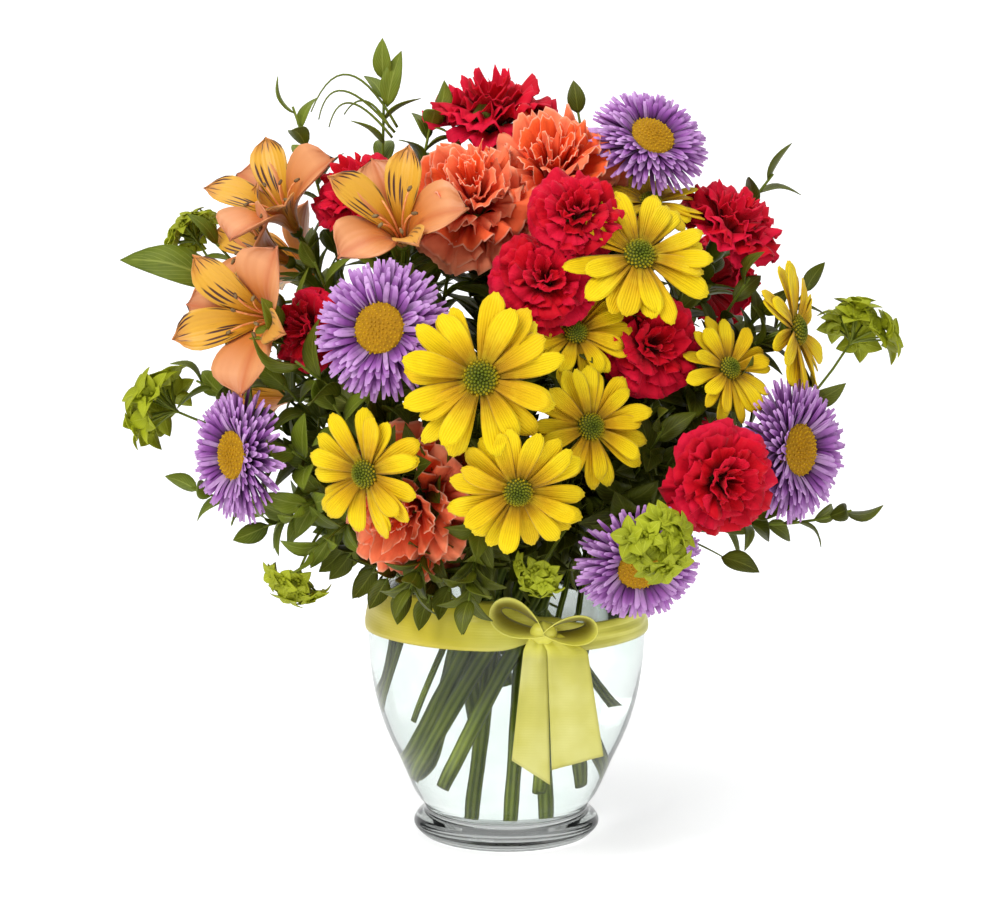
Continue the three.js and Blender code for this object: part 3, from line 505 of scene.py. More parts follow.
def daisy_button(bm, place, r, _):
    florets(bm, place, DAISY_HEART * r, 3.4, 0.6, 90, 0.026 * r)


flower_pieces("daisy", "_petals", daisy_skin, "daisy_petal", daisy_petals, wall=0.35)
flower_pieces("daisy", "_buttons", button_skin, "stem", daisy_button, whole=True, smooth=False)


# ---- the asters
# Double asters: seven rings of very narrow channelled rays, each ring shorter and more upright than the one
# under it, in a dense cushion round a flat yellow disc as wide as two fifths of the flower.
ASTER_RINGS = [(1.02, -0.08, 0), (1, 0.02, 0.02), (0.96, 0.11, 0.03), (0.9, 0.19, 0.04), (0.83, 0.26, 0.05),
               (0.74, 0.31, 0.06), (0.64, 0.32, 0.06)]
ASTER_RAYS = 34
ASTER_DISC = 0.41

# Aster ray: mauve skin, deep violet at the root as painted shade where the rays crowd, deep violet on some
# rays, nearly white-lilac at the tips of others.
ray_skin, add, where, _, _, along, tone = petal_material("mauve_aster_ray")
mottle = add("TexNoise", {"Vector": where, "Scale": 260, "Detail": 2})
# painted shade: the ramp is deep violet at the root, where the rays crowd round the disc
down = add("ValToRGB", [along], [
    (0.12, "#380E3E"), (0.5, "#7A3A88"), (0.78, "#A262AE"), (1, "#C896D2")])
pale = add("MixRGB", [add("MapRange", [tone, 0.5, 1, 0, 0.6]), down, "#E2B8E8"])
surface(add, {
    "Base Color": add("MixRGB", [add("MapRange", [mottle, 0.5, 0.75, 0, 0.5]), pale, "#5A2466"]),
    "Roughness": 0.6,
    "Sheen Weight": 0.06,
    "Specular IOR Level": 0.2,
})

# Aster disc: packed golden florets, ochre between them and a paler rim where pollen shows.
disc_skin = floret_skin("golden_disc_florets", 500, [
    (0, "#AC7C00"), (0.4, "#C09006"), (0.8, "#D0A40E"), (1, "#DEB82C")], "#8C6204", 0.75)


def aster_rays(bm, place, r, luck):
    for ring, (reach, rise, curl) in enumerate(ASTER_RINGS):
        for i in range(ASTER_RAYS):
            turn = (i + 0.5 * (ring % 2) + luck.uniform(-0.4, 0.4)) / ASTER_RAYS * tau
            length = r * reach * luck.uniform(0.93, 1)
            up, hook = r * (rise + luck.uniform(-0.03, 0.03)), r * curl * luck.uniform(-1, 1)
            half, start, root = r * luck.uniform(0.034, 0.048), 0.32 * r, 0.02 * r * ring
            sway = r * luck.uniform(-0.06, 0.06)

            def shape(x, s):
                slim = half * (0.75 + 0.25 * sin(pi * s)) * (1 - 0.4 * max(0, (s - 0.8) / 0.2) ** 2)
                z = root + (up - root) * s ** 0.8 + hook * s ** 3 + 0.55 * slim * abs(x)
                return start + (length - start) * s, slim * x + sway * s * s, z

            petal(bm, 2, 5, place @ Matrix.Rotation(turn, 4, "Z"), luck.random(), shape)


flower_pieces("aster", "_rays", ray_skin, "aster_petal", aster_rays, wall=0.25)
for name, blooms in groups("aster"):
    bm = fresh()
    for bloom in blooms:
        r = BLOOMS[bloom][2]
        florets(bm, bloom_place(bloom), ASTER_DISC * r, 3.6, 0.1 * r, 150, 0.034 * r / 1.6)
    disc_node = name if name in FUSED else name.replace("aster", "aster_disc")
    piece(name + "_disc", bm, disc_skin, "aster_disc", disc_node, smooth=False)


# ---- the carnations
# Red spray carnations and large coral ones: broad fan-shaped petals, waved and folded as they push one another
# out of a long green cup, finely pinked, from the spread outer ones to the crumpled tuft in the middle.
# Each ring: petals, reach and lift as shares of the flower's radius, and how upright the petal stands
MINI_RINGS = [(6, 1, 0, 0), (6, 0.95, 0.15, 0.15), (6, 0.84, 0.3, 0.3), (5, 0.66, 0.41, 0.5),
              (4, 0.45, 0.46, 0.8), (3, 0.25, 0.48, 1)]
CARNATION_RINGS = [(7, 1.02, -0.06, 0), (7, 0.98, 0.1, 0.1), (7, 0.86, 0.28, 0.3), (6, 0.7, 0.44, 0.5),
                   (5, 0.52, 0.56, 0.75), (4, 0.34, 0.62, 0.9), (3, 0.2, 0.64, 1)]


def frilled_petals(bm, place, r, luck, rings, frill, teeth):
    for ring, (count, reach, lift, upright) in enumerate(rings):
        for i in range(count):
            turn = (i + 0.5 * (ring % 2) + luck.uniform(-0.25, 0.25)) / count * tau
            length, rise = r * reach * luck.uniform(0.93, 1.02), r * (lift + luck.uniform(-0.05, 0.05))
            half = pi / count * luck.uniform(1.15, 1.45)
            drift = Vector((luck.uniform(0, 90), luck.uniform(0, 90), luck.uniform(0, 90)))

            def shape(x, s):
                # broad folds run the length of the blade, and finer ruffles gather along its edge
                fold = noise.noise(drift + Vector((2 * x, 0.7 * s, 0)))
                ruffle = noise.noise(drift + Vector((4.6 * x, 0.9 * s, 7)))
                pinked = teeth * r * cos(10 * pi * x) * s ** 8
                turned = half * x * (0.5 + 0.5 * s) + frill * 1.2 * s * s * ruffle
                out = 0.05 * r + (length - 0.05 * r) * s * (1 - 0.13 * x ** 4 * s) + pinked
                out -= r * (0.1 * x * x * s * upright - 0.9 * frill * s * s * fold)
                # the claw climbs out of the cup, then the blade leans out and its edge rolls down
                z = -0.3 * r * (1 - s) ** 2 + rise * s ** (1 - 0.5 * upright)
                z += frill * r * (3 * s * fold + 2.3 * s ** 3 * ruffle) - 0.14 * r * (1 - upright) * s ** 4
                return out * cos(turned), out * sin(turned), z

            # painted light: the outer, open petals are painted paler and the ones in the cup deeper, on top of
            # a tone that differs at random from petal to petal
            tone = luck.uniform(0, 0.65) + 0.35 * (1 - ring / (len(rings) - 1))
            petal(bm, 20, 8, place @ Matrix.Rotation(turn, 4, "Z"), tone, shape)


# Carnation petals: thin, velvety and matt, with a faint sheen. Each colour has a deep one painted at the root
# as shade deep in the cup, its own colour for the blade, a lighter pinked edge, and a painted highlight for the
# paler petals.
def carnation_skin(name, deep, body, edge, painted_highlight):
    made, add, where, flat, _, along, tone = petal_material(name)
    veins = add("TexWave", {"Vector": flat, "Scale": 5, "Distortion": 3.5, "Detail": 2})
    mottle = add("TexNoise", {"Vector": where, "Scale": 60, "Detail": 3})
    # painted shade: the ramp is deep at the root, down in the cup
    down = add("ValToRGB", [along], [(0.3, deep), (0.62, body), (0.96, body), (1, edge)])
    # painted highlight: petals of high tone turn towards the highlight colour
    lit = add("MixRGB", [add("MapRange", [tone, 0.25, 1, 0, 0.85]), down, painted_highlight])
    # the painted shade at the root stays deep on the pale petals too
    rooted = add("MixRGB", [add("MapRange", [along, 0.3, 0.8, 1, 0]), lit, down])
    spots = add("MixRGB", [add("MapRange", [mottle, 0.5, 0.72, 0, 0.55]), rooted, deep])
    surface(add, {
        "Base Color": spots,
        "Roughness": add("MapRange", [mottle, 0, 1, 0.55, 0.75]),
        "Sheen Weight": 0.04,
        "Specular IOR Level": 0.12,
    }, bump=(veins, 0.2, 0.0004))
    return made


red_skin = carnation_skin("crimson_carnation_petal", "#8E000A", "#C80018", "#D20A2C", "#DE1440")
coral_skin = carnation_skin("coral_carnation_petal", "#CC2A06", "#F6622E", "#FFB494", "#FF9E76")

# a mini's frill and pinked teeth, and a carnation's, as shares of the radius
flower_pieces("mini", "_petals", red_skin, "mini_petal", frilled_petals, MINI_RINGS, 0.085, 0.007, wall=0.3)
flower_pieces("carnation", "_petals", coral_skin, "carnation_petal", frilled_petals, CARNATION_RINGS,
              0.11, 0.008, wall=0.3)


# ---- the alstroemerias
# Peruvian lilies: a funnel of three broad peach tepals and, between them, three narrow yellow ones with dark
# dashes, with six stamens curving out of the throat.
# Each tepal: degrees from the top one, half width, reach and rise as shares of the radius, how streaked it is
TEPALS = [(0, 0.36, 0.94, 0.02, 0), (112, 0.42, 1, 0.12, 0), (248, 0.42, 1, 0.12, 0),
          (34, 0.25, 0.98, 0.26, 1), (326, 0.25, 0.98, 0.26, 1), (180, 0.22, 0.78, 0.2, 0.7)]

# Alstroemeria tepal: satin skin. The broad ones are peach with a rosy rib and a darker tip; the narrow ones
# are yellow with brown dashes along their veins. The tone says how streaked a tepal is.
tepal_skin, add, where, flat, across, along, streaked = petal_material("peach_and_streaked_tepal")
mottle = add("TexNoise", {"Vector": where, "Scale": 120, "Detail": 3})
veins = add("TexWave", {"Vector": flat, "Scale": 2.6, "Distortion": 1, "Detail": 1})
peach = add("ValToRGB", [along], [
    (0.12, "#C47410"), (0.45, "#D27C34"), (0.8, "#DE9660"), (1, "#BE6E42")])
rib = add("Math", [add("Math", [across, 0.5], operation="SUBTRACT")], operation="ABSOLUTE")
ribbed = add("MixRGB", [add("MapRange", [rib, 0, 0.14, 0.6, 0]), peach, "#C05C26"])
yellow = add("ValToRGB", [along], [
    (0.12, "#B47408"), (0.5, "#D69A12"), (0.82, "#DCA428"), (1, "#CC7E38")])
both = add("MixRGB", [streaked, ribbed, yellow])
dash_where = add("Mapping", {"Vector": flat, "Scale": (10.5, 2.3, 1)})
dashes = add("TexVoronoi", {"Vector": dash_where, "Scale": 1, "Randomness": 0.6})
dashed = add("Math", [add("MapRange", [dashes, 0.3, 0.4, 1, 0]), streaked], operation="MULTIPLY")
zone = add("ValToRGB", [along], [
    (0.3, "#000000"), (0.42, "#FFFFFF"), (0.93, "#FFFFFF"), (0.98, "#000000")])
surface(add, {
    "Base Color": add("MixRGB", [add("Math", [dashed, zone], operation="MULTIPLY"), both, "#4A1E0A"]),
    "Roughness": add("MapRange", [mottle, 0, 1, 0.38, 0.55]),
    "Sheen Weight": 0.1,
}, bump=(veins, 0.3, 0.0003))

# Anthers and filaments: filaments flushed pink, anthers grey-brown with pollen.
stamen_skin, add, where = new_material("stamen_and_pollen")
pollen = add("TexNoise", {"Vector": where, "Scale": 600, "Detail": 2})
is_anther = add("Attribute", out="Fac", attribute_name="tone")
filament = add("ValToRGB", [pollen], [(0.3, "#E8884A"), (0.7, "#F4B070")])
anther = add("ValToRGB", [pollen], [(0.3, "#5A3A20"), (0.7, "#8A7448")])
surface(add, {"Base Color": add("MixRGB", [is_anther, filament, anther]), "Roughness": 0.7})


def tepals(bm, place, r, luck):
    for turn, wide, reach, rise, streak in TEPALS:
        spine = bend((0.07 * r, 0, -0.7 * r), (0.2 * r, 0, luck.uniform(-0.06, 0.04) * r),
                     (reach * r, 0, (rise + luck.uniform(-0.06, 0.06)) * r), 24)
        broad, cup, twist = wide * r, luck.uniform(0.3, 0.5), luck.uniform(-0.12, 0.12)

        def shape(x, s):
            at, way = along_line(spine, s)
            full = 0.15 + 0.85 * sin(min(1, s / 0.74) * pi / 2) ** 2.2
            tip = max(0, (s - 0.74) / 0.26)
            half = broad * full * (1 - 0.92 * tip ** 2.4)
            face = Vector((-way.z, 0, way.x))
            spot = at + face * (cup * half * x * x + twist * half * x)
            return spot.x - 0.06 * r * x * x * tip, half * x, spot.z

        turned = place @ Matrix.Rotation(radians(turn + luck.uniform(-6, 6)), 4, "Z")
        petal(bm, 8, 14, turned, streak, shape)


def stamens(bm, place, r, luck):
    layer = bm.verts.layers.float["tone"]
    for i in range(6):
        turned = place @ Matrix.Rotation(radians(60 * i + luck.uniform(-15, 15)), 4, "Z")
        tip = Vector((r * luck.uniform(0.2, 0.42), 0, r * luck.uniform(-0.06, 0.12)))
        line = bend((0.04 * r, 0, -0.66 * r), (0.06 * r, 0, -0.1 * r), tip, 6)
        grown(bm, [turned @ p for p in line], [0.4] * 7, 5)
        spot = turned @ Matrix.Translation(tip) @ Matrix.Diagonal((1.6, 0.8, 0.8, 1))
        for point in bmesh.ops.create_icosphere(bm, subdivisions=1, radius=1, matrix=spot)["verts"]:
            point[layer] = 1


flower_pieces("alstro", "_tepals", tepal_skin, "alstro_petal", tepals, wall=0.4)
flower_pieces("alstro", "_stamens", stamen_skin, "alstro_petal", stamens)


# ---- the foliage
# Woody shoots of small glossy leaves that fill the bouquet and stand out round it, with a lance leaf on the
# left and leaves that hang over the ribbon. Each shoot grows from a thin trunk that stands near the glass.
LEAF_TURN = 137.5  # from one leaf to the next round a shoot, in degrees
COLLAR_SHOOTS = 22
# Each shoot: its tip, the point it heads for, leaves, their length and width, where the first one grows
LEAFY = {
    "leafy_stem_1": (-172, (-52, -6, 150), [
        ((-48, -4, 306), (-50, 4, 250), 8, 24, 11, 0.5),
        ((-84, -6, 292), (-70, 6, 250), 8, 23, 10, 0.5),
        ((-116, -8, 240), (-88, 2, 210), 9, 26, 9, 0.2),
        ((-124, -22, 143), (-84, -14, 126), 10, 22, 11, 0.35),
        ((-84, -52, 186), (-58, -14, 150), 10, 27, 12, 0.25),
        ((-64, -66, 180), (-50, -30, 146), 10, 27, 12, 0.25),
        ((-72, -50, 232), (-60, -16, 196), 10, 24, 10, 0.2),
        ((-100, -34, 196), (-70, -14, 160), 10, 27, 12, 0.25),
        ((-16, -14, 284), (-36, -4, 236), 11, 22, 11, 0.25),
        ((-88, -40, 214), (-62, -8, 176), 12, 24, 12, 0.25),
        ((-78, -66, 142), (-60, -34, 140), 11, 25, 12, 0.25),
        ((-74, -66, 124), (-54, -40, 138), 11, 22, 10, 0.3),
        ((-88, -46, 208), (-64, -18, 166), 14, 26, 14, 0.25),
        ((-80, -62, 162), (-58, -30, 142), 13, 26, 14, 0.25),
        ((-10, -16, 284), (-24, -8, 240), 13, 24, 13, 0.35),
        ((-28, -12, 290), (-42, -6, 248), 14, 23, 13, 0.4),
        ((-120, -30, 186), (-88, -20, 168), 12, 24, 13, 0.35),
        ((-92, -52, 132), (-64, -34, 142), 13, 23, 12, 0.3)]),
    "leafy_stem_2": (-8, (52, 10, 150), [
        ((106, 2, 266), (70, 8, 220), 12, 25, 11, 0.4),
        ((122, 6, 222), (86, 16, 170), 9, 23, 10, 0.3),
        ((136, -20, 134), (92, -14, 118), 11, 22, 11, 0.3),
        ((28, 10, 294), (40, 6, 230), 9, 20, 11, 0.3),
        ((92, -42, 226), (70, -14, 186), 10, 25, 11, 0.2),
        ((66, -54, 222), (58, -20, 180), 10, 25, 11, 0.2),
        ((98, -46, 136), (72, -20, 130), 10, 25, 11, 0.25),
        ((58, -70, 172), (50, -34, 146), 10, 27, 12, 0.2),
        ((10, -10, 284), (26, 4, 236), 10, 22, 11, 0.25),
        ((84, -56, 190), (66, -24, 160), 11, 24, 11, 0.25),
        ((70, -64, 148), (56, -40, 142), 11, 24, 11, 0.25),
        ((118, -34, 180), (82, -24, 158), 13, 24, 12, 0.35),
        ((100, -30, 214), (72, -10, 180), 13, 24, 12, 0.3)]),
    "collar_leaves_1": (-100, (-8, -40, 145), [
        ((-36, -75, 111), (-26, -66, 138), 20, 22, 12, 0.2),
        ((-14, -79, 107), (-10, -66, 136), 20, 22, 12, 0.2),
        ((-78, -66, 196), (-42, -50, 166), 8, 32, 16, 0.3),
        ((-10, -78, 132), (-6, -58, 146), 12, 24, 12, 0.2)]),
    "collar_leaves_2": (96, (-4, 40, 145), [
        ((-46, 72, 118), (-26, 62, 141), 12, 24, 10, 0.2),
        ((42, 74, 116), (21, 63, 141), 12, 24, 10, 0.2),
        ((-2, 112, 190), (0, 70, 150), 8, 32, 14, 0.4),
        ((64, 60, 196), (40, 50, 160), 12, 28, 12, 0.25)]),
}
# Single leaves that show at the outline: the stem they grow on, root, tip and width
LONE_LEAVES = [
    ("leafy_stem_1", (-112, -8, 222), (-153, -11, 229), 17),
    ("leafy_stem_1", (-47, -4, 292), (-42, -5, 314), 8),
    ("leafy_stem_2", (80, -68, 123), (94, -71, 118), 8.5),
]
# Thin curled shoots at the top left, and the stalk of the lone leaf at the lower right: start, bend and end
TENDRILS = {
    "leafy_stem_1": [
        ((-43, -4, 284), (-64, -4, 322), (-77, -4, 290)), ((-44, -4, 282), (-69, -4, 312), (-74, -4, 287)),
        ((-45, -4, 280), (-65, -4, 305), (-70, -4, 284)), ((-46, -4, 284), (-56, -4, 302), (-64, -4, 289))],
    "leafy_stem_2": [((58, -30, 128), (68, -62, 130), (81, -68, 123))],
}


def leafy_trunk(turn, fork):
    """The wood of a thin stem that stands near the glass, with its line above the neck, where shoots grow"""
    foot, neck, radius = stem_ends("wall", turn)
    upper = bend(neck, neck + (neck - foot).normalized() * 9, fork, 8)
    wood = fresh()
    grown(wood, [foot.lerp(neck, i / 8) for i in range(8)] + upper, [radius] * (8 + len(upper)), 8)
    return wood, upper


def side_shoot(wood, upper, i, by, tip):
    """The i-th shoot down from the end of a leafy stem, which heads for by and ends at its tip"""
    line = bend(along_line(upper, 0.98 - 0.12 * i)[0], by, tip, 12)
    grown(wood, line, [0.95 - 0.035 * j for j in range(13)], 6)
    return line


def leaf(bm, root, along, face, length, width, luck):
    """A pointed leaf that grows from root along one way, with its upper side turned to face"""
    x = along.normalized()
    y = face.cross(x).normalized()
    place = Matrix((x, y, x.cross(y))).transposed().to_4x4()
    place.translation = root
    arch, sway, fold = luck.uniform(0.05, 0.2), luck.uniform(-0.12, 0.12), luck.uniform(0.15, 0.4)

    def shape(across, s):
        half = 0.5 * width * (sin(pi * s ** 0.8) ** 0.85 * 0.98 + 0.05 * (1 - s))
        lift = length * arch * sin(pi * s) + fold * half * abs(across)
        return length * s, half * across + sway * length * s * s, lift

    petal(bm, 4, 8, place, luck.random(), shape)


def leaves_up(bm, line, count, length, width, first, luck, last=0.97):
    """Leaves up a shoot, each a turn further round it than the last, and one on its tip where it is bare"""
    for i in range(count):
        share = first + (last - first) * i / max(1, count - 1)
        root, way = along_line(line, share)
        side = Vector((0, 0, 1)).cross(way).normalized()
        side.rotate(Matrix.Rotation(radians(LEAF_TURN * i), 3, way))
        tip = last > 0.9 and i == count - 1
        size = (1 - 0.3 * share) * luck.uniform(0.85, 1)
        leaf(bm, root, way * (1 if tip else 0.55) + side * (0.1 if tip else 0.85),
             way * 0.85 + side * (1 if tip else -0.55), length * size, width * size, luck)


# Evergreen leaf: a waxy dark green upper skin, paler along the midrib and side veins.
def leaf_skin(name, deep, body, vein, shine):
    made, add, where, _, across, along, tone = petal_material(name)
    off = add("Math", [add("Math", [across, 0.5], operation="SUBTRACT")], operation="ABSOLUTE")
    # side veins run forward from the midrib, about eight a side
    slant = add("Math", [along, off], operation="SUBTRACT")
    side_veins = add("Math", [add("Math", [slant, 50], operation="MULTIPLY")], operation="SINE")
    midrib = add("MapRange", [off, 0, 0.05, 1, 0])
    veining = add("Math", [add("MapRange", [side_veins, 0.75, 1, 0, 0.45]), midrib], operation="MAXIMUM")
    mottle = add("TexNoise", {"Vector": where, "Scale": 60, "Detail": 4})
    blade = add("ValToRGB", [mottle], [(0.3, deep), (0.7, body)])
    light = add("MixRGB", [add("MapRange", [tone, 0, 1, 0, 0.35]), blade, body])
    surface(add, {
        "Base Color": add("MixRGB", [add("Math", [veining, 0.55], operation="MULTIPLY"), light, vein]),
        "Roughness": add("MapRange", [mottle, 0, 1, shine, shine + 0.2]),
        "Specular IOR Level": 0.25,
    }, bump=(veining, 0.35, 0.0003))
    return made


evergreen = leaf_skin("waxy_evergreen_leaf", "#383A06", "#60680E", "#8E9438", 0.42)
fresh_green = leaf_skin("fresh_green_leaf", "#42500A", "#727F18", "#A2AA4C", 0.44)
for name, (turn, fork, shoots) in LEAFY.items():
    luck = random.Random(name)
    wood, upper = leafy_trunk(turn, fork)
    green = fresh()
    for i, (tip, by, count, length, width, first) in enumerate(shoots):
        leaves_up(green, side_shoot(wood, upper, i, by, tip), count, length, width, first, luck)
    # round the collar short leafy shoots lie over the lip, and hang lowest to the left of the bow
    for i in range(COLLAR_SHOOTS if "collar" in name else 0):
        turn = 7.8 * i + 8
        reach, low = (66, 106) if 97 < turn < 140 else (53, 114) if 62 < turn < 97 else (66, 115)
        side = radians(-turn if name == "collar_leaves_1" else turn)
        way = Vector((cos(side), sin(side), 0))
        start = along_line(upper, 0.99 - 0.04 * (i % 7))[0]
        end = way * (reach + luck.uniform(-4, 4)) + Vector((0, 0, low + luck.uniform(-3, 5)))
        line = bend(start, way * 42 + Vector((0, 0, 148)), end, 10)
        grown(wood, line, [0.8 - 0.035 * j for j in range(11)], 6)
        leaves_up(green, line, 13, 21, 12, 0.2, luck)
    for start, by, end in TENDRILS.get(name, ()):
        grown(wood, bend(start, by, end, 14), [0.62 - 0.025 * j for j in range(15)], 6)
    for stem, root, tip, width in LONE_LEAVES:
        if stem == name:
            along = Vector(tip) - Vector(root)
            leaf(green, Vector(root), along, Vector((0, -0.8, 0.6)), along.length, width, luck)
    piece(name + "_wood", wood, stem_skin, "stem", name)
    skin = fresh_green if name == "leafy_stem_1" else evergreen
    piece(name + "_leaves", green, skin, "dark_leaf", name, wall=0.3)

# Flower stems keep their upper leaves, which fill the bouquet from inside: lance-shaped on the alstroemerias
for name, lines in stem_lines.items():
    luck = random.Random(name + " leaves")
    lance = "alstro" in name
    green = fresh()
    for i, line in enumerate(lines):
        long = sum((b - a).length for a, b in zip(line, line[1:]))
        leaves_up(green, line, round(long / (4.4 if i else 3.2)), 32 if lance else 26, 7 if lance else 12.5,
                  0.1 if i else 0.25, luck, last=0.72)
    piece(name + "_foliage", green, fresh_green if lance else evergreen, "dark_leaf", name, wall=0.3)


# ---- the lime heads
# Thorow-wax: heads of lime-green bracts, each a saucer of five or six points round a cluster of tiny buds, on
# short stalks from the end of each shoot.
LIME = {
    "lime_stem_1": (-140, (-49, -24, 153), [
        ((-128, -23, 173), (-96, -30, 160), 22), ((-78, -54, 117), (-68, -46, 142), 15),
        ((-122, -2, 238), (-92, -24, 196), 15)]),
    "lime_stem_2": (-30, (34, -32, 145), [
        ((137, 0, 198), (96, -30, 140), 21), ((52, -100, 134), (44, -64, 134), 17),
        ((13, -80, 122), (26, -64, 140), 12.5)]),
}
lime_skin = leaf_skin("lime_bract", "#7A8006", "#A8B01C", "#C8CE4A", 0.5)
for name, (turn, fork, heads) in LIME.items():
    luck = random.Random(name)
    wood, upper = leafy_trunk(turn, fork)
    green = fresh()
    for i, (tip, by, r) in enumerate(heads):
        line = side_shoot(wood, upper, i, by, tip)
        way = (line[-1] - line[-2]).normalized()
        across = way.orthogonal().normalized()
        for j in range(13):
            lean = across.copy()
            lean.rotate(Matrix.Rotation(radians(LEAF_TURN * j + luck.uniform(-15, 15)), 3, way))
            axis = (way + lean * 1.5 * sqrt(j / 12)).normalized()
            centre = line[-1] + axis * r * luck.uniform(0.5, 0.74)
            grown(wood, bend(line[-1], line[-1] + way * 3, centre, 4), [0.45] * 5, 5)
            turned = Matrix.Translation(centre) @ axis.to_track_quat("Z", "Y").to_matrix().to_4x4()
            size = r * luck.uniform(0.4, 0.5)
            for k in range(5):
                aim = turned @ Matrix.Rotation(radians(72 * k + 25 * j), 4, "Z")
                at = aim @ Vector((0.3, 0, 0))
                leaf(green, at, aim.to_3x3() @ Vector((1, 0, luck.uniform(0.1, 0.6))),
                     aim.to_3x3() @ Vector((-0.35, 0, 1)), size, size * 0.72, luck)
            for k in range(6):
                spot = Matrix.Translation((0.15 * size * sqrt(k), 0, 1 + 0.1 * size))
                spot = turned @ Matrix.Rotation(2.4 * k, 4, "Z") @ spot
                bmesh.ops.create_icosphere(green, subdivisions=1, radius=0.75, matrix=spot)
    piece(name + "_wood", wood, stem_skin, "stem", name)
    piece(name + "_bracts", green, lime_skin, "lime_leaf", name, wall=0.25)


# ---- the satin ribbon
# A pale yellow satin ribbon, wound once round the vase's shoulder and tied in a small bow in front: a broad
# band, gathered where it is tied, two loops that open to the front, a knot, and two tails with slant ends.
KNOT = Vector((14, -62.6, 93.5))
RIBBON_WALL = 0.3

satin, add, where = new_material("woven_satin_ribbon")
# satin floats are about 0.2 mm wide, drawn here at 0.5 mm so that they show
weave = add("TexWave", {"Vector": where, "Scale": 300, "Distortion": 1, "Detail": 1}, bands_direction="Z")
creases = add("TexNoise", {"Vector": where, "Scale": 38, "Detail": 3})
# the crease pattern also paints the satin's sheen into its colour: painted highlights on the raised folds,
# painted shade in their hollows
hanging = add("ValToRGB", [creases], [(0.3, "#AEA83A"), (0.5, "#C0BA56"), (0.72, "#D0CC7A")])
# the band and loops are painted lighter and a stronger yellow than the tails, to lift the shade the bouquet
# casts on them; painted shade deepens the band left of the bow and inside each loop
side = add("SeparateXYZ", [where], out=None)
# painted light: a lighter copy of the satin for the band and loops, which stand in the bouquet's shade
tied = add("ValToRGB", [creases], [(0.3, "#C6BE34"), (0.5, "#D8D24C"), (0.72, "#E4E074")])
cloth = add("MixRGB", [add("MapRange", [side.outputs["Z"], 0.083, 0.088]), hanging, tied])
# painted shade of the bouquet: left of the bow the band darkens to olive
painted_shade_left = add("MapRange", [side.outputs["X"], -0.03, 0, 0.85, 0])
shaded_left_cloth = add("MixRGB", [painted_shade_left, cloth, "#C8B410"])
# painted shade inside each loop, by the tone that ribbon_part gives the loop's points
inside = add("Attribute", out="Fac", attribute_name="tone")
creased = add("Bump", {"Height": creases, "Strength": 0.25, "Distance": 0.001})
surface(add, {
    "Base Color": add("MixRGB", [inside, shaded_left_cloth, "#8E8210"]),
    "Roughness": add("MapRange", [creases, 0, 1, 0.3, 0.5]),
    "Sheen Weight": 0.15,
    "Anisotropic": 0.5,
    "Normal": add("Bump", {"Height": weave, "Strength": 0.12, "Distance": 0.0002, "Normal": creased}),
})


def glass_radius(z):
    """The vase's outer radius at a height"""
    for (r0, z0), (r1, z1) in zip(VASE_OUTSIDE, VASE_OUTSIDE[1:]):
        if z0 <= z <= z1:
            return r0 + (r1 - r0) * (z - z0) / (z1 - z0)
    return VASE_OUTSIDE[-1][0]


def band_point(across, along):
    turn = (along - 0.5) * tau
    knot_turn = atan2(KNOT.y, KNOT.x)
    off = (turn - knot_turn + pi) % tau - pi
    pinch = exp(-(off / 0.16) ** 2)  # where the knot gathers the band
    slim = 1 / (1 + exp(-(off - 0.16) / 0.06)) / (1 + exp((off - 1.25) / 0.08))  # narrower on the right
    high, low = 103.4 - 9.5 * slim - 5 * pinch, 85 - 1.2 * slim + 4 * pinch
    z = low + (high - low) * (across + 1) / 2
    folds = 0.5 * (pinch + 0.5 * slim) * (1 + cos(across * 9)) + 0.25 * (1 + sin(7 * turn + 4 * across))
    r = glass_radius(z) + 0.55 + folds
    return r * cos(turn), r * sin(turn), z


bm = fresh()
petal(bm, 12, 160, Matrix(), 0, band_point)
bmesh.ops.remove_doubles(bm, verts=bm.verts, dist=1e-3)
band = piece("ribbon_band_satin", bm, satin, "ribbon", "ribbon_band", wall=RIBBON_WALL)


def bow_loop(lean, length, height, depth, flare):
    """A loop of ribbon: it leaves the knot, turns round and comes back, its open side to the front"""
    place = Matrix.Translation(KNOT) @ Matrix.Rotation(-radians(lean), 4, "Y")

    def shape(across, along):
        turn = (along - 0.5) * tau * 0.97
        near = (across + 1) / 2  # 0 at the edge by the vase, 1 at the edge in front, which rolls outwards
        wide = 1 - flare * (1 - near) ** 1.5
        out = length * (0.5 + 0.5 * cos(turn)) * (0.7 + 0.3 * wide) - 0.6
        open_up = 0.5 * height * wide * sin(turn) * (0.5 + 0.5 * cos(turn)) ** 0.4
        front = depth * (near - 0.5) - 0.16 * depth * max(0, near - 0.75) / 0.25
        return out, -front - 0.5, open_up + 0.5 * sin(6 * along + across)

    return place, shape


def tail_shape(left_edge, right_edge, front, wave):
    """A hanging tail: its left and right edges, each given at the knot, just under it and at the slant end"""
    gathered = 0.14

    def edge_at(edge, along):
        knot, under, low = (Vector(spot) for spot in edge)
        if along < gathered:
            return knot.lerp(under, along / gathered)
        return under.lerp(low, (along - gathered) / (1 - gathered))

    def shape(across, along):
        spot = edge_at(left_edge, along).lerp(edge_at(right_edge, along), (across + 1) / 2)
        gather = (1 - along) ** 2
        ripple = wave * sin(across * 5 + 2 * along) * (0.35 + gather) + 0.8 * sin(3 * along)
        return spot.x, front - 0.6 - ripple, spot.y

    return shape


def ribbon_part(name, across, along, place, shape):
    bm = fresh()
    petal(bm, across, along, place, 0, shape)
    # on the loops the tone runs from 0 at the front edge to 1 at the back, and sets how much painted shade the
    # inside of the loop gets
    if "loop" in name:
        for point in bm.verts:
            point[bm.verts.layers.float["tone"]] = min(1, max(0, (point.co.y - KNOT.y + 3.5) / 5))
    made = piece(name, bm, satin, "ribbon", "ribbon_bow", wall=RIBBON_WALL)


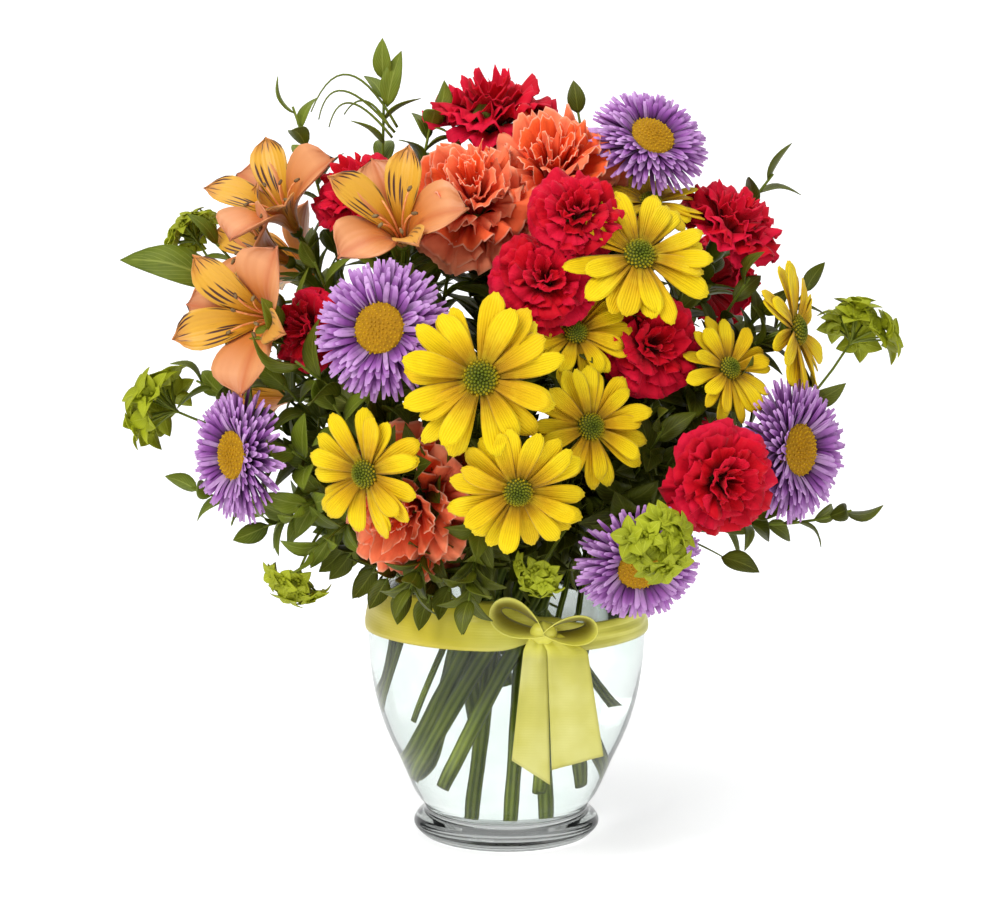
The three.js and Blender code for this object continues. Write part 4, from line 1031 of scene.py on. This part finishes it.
place, shape = bow_loop(152, 23, 18, 12, 0.7)
ribbon_part("ribbon_loop_left", 8, 40, place, shape)
place, shape = bow_loop(8, 21, 15, 12, 0.7)
ribbon_part("ribbon_loop_right", 8, 40, place, shape)
shape = tail_shape([(9, 93), (6.4, 86.5), (2, 44)], [(16, 93), (15.6, 86.5), (16.6, 34.5)], -60.8, 0.5)
ribbon_part("ribbon_tail_left", 10, 30, Matrix(), shape)
shape = tail_shape([(12, 93), (15.4, 86.5), (17.2, 40.5)], [(20, 93), (30.6, 86.5), (36.8, 46)], -61.8, 0.5)
ribbon_part("ribbon_tail_right", 12, 30, Matrix(), shape)

bm = fresh()
bmesh.ops.create_uvsphere(bm, u_segments=24, v_segments=14, radius=1)
for point in bm.verts:
    spread = 1 + 0.06 * sin(9 * atan2(point.co.z, point.co.x))
    point.co = KNOT + Vector((5.2 * point.co.x, 3.6 * point.co.y, 4.4 * point.co.z * spread))
piece("ribbon_knot", bm, satin, "ribbon", "ribbon_bow")


# ---- the studio
# A pale table and backdrop in one sweep of paper, three soft boxes and a light grey room.
# The key light stands in front on the left, so the shadow falls to the right.
paper, add, where = new_material("matt_studio_paper")
grain = add("TexNoise", {"Vector": where, "Scale": 900, "Detail": 2})
surface(add, {
    "Base Color": add("ValToRGB", [grain], [(0.3, "#F4F4F4"), (0.7, "#FAFAFA")]),
    "Roughness": 0.9,
    "Specular IOR Level": 0.1,
    "Emission Color": "#FFFFFF",
    "Emission Strength": 0.3,
})
bm = bmesh.new()
sweep = [(-2.2, -0.0005), (0.7, -0.0005), (0.95, 0.03), (1.15, 0.13), (1.28, 0.3), (1.33, 0.55), (1.33, 2.4)]
for point in bmesh.ops.create_grid(bm, x_segments=2, y_segments=len(sweep) - 1, size=1)["verts"]:
    y, z = sweep[round((point.co.y + 1) / 2 * (len(sweep) - 1))]
    point.co = (point.co.x * 1.3, y, z)
floor = shown("studio_sweep", bm, paper)

for name, spot, size, power in [("key", (-0.9, -1.3, 1.35), 1, 28), ("fill", (1.2, -1, 0.8), 1, 5),
                                ("top", (0.1, 0.1, 1.5), 1, 8)]:
    lamp = bpy.data.lights.new(name, "AREA")
    lamp.size, lamp.energy = size, power
    made = bpy.data.objects.new(name, lamp)
    made.location = spot
    made.rotation_euler = (Vector((0, 0, 0.15)) - Vector(spot)).to_track_quat("-Z", "Y").to_euler()
    bpy.context.scene.collection.objects.link(made)

world = bpy.data.worlds.new("studio")
world.use_nodes = True
world.node_tree.nodes["Background"].inputs["Color"].default_value = linear("#DDE1E4")
world.node_tree.nodes["Background"].inputs["Strength"].default_value = 0.45
bpy.context.scene.world = world
bpy.context.scene.view_settings.view_transform = "Standard"

lens = bpy.data.cameras.new("camera")
lens.lens, lens.sensor_width = 76.5, 36
camera = bpy.data.objects.new("camera", lens)
camera.location = (0, -0.850, 0.250)
camera.rotation_euler = (radians(90 - 6.33), 0, radians(0.175))
bpy.context.scene.collection.objects.link(camera)
bpy.context.scene.camera = camera
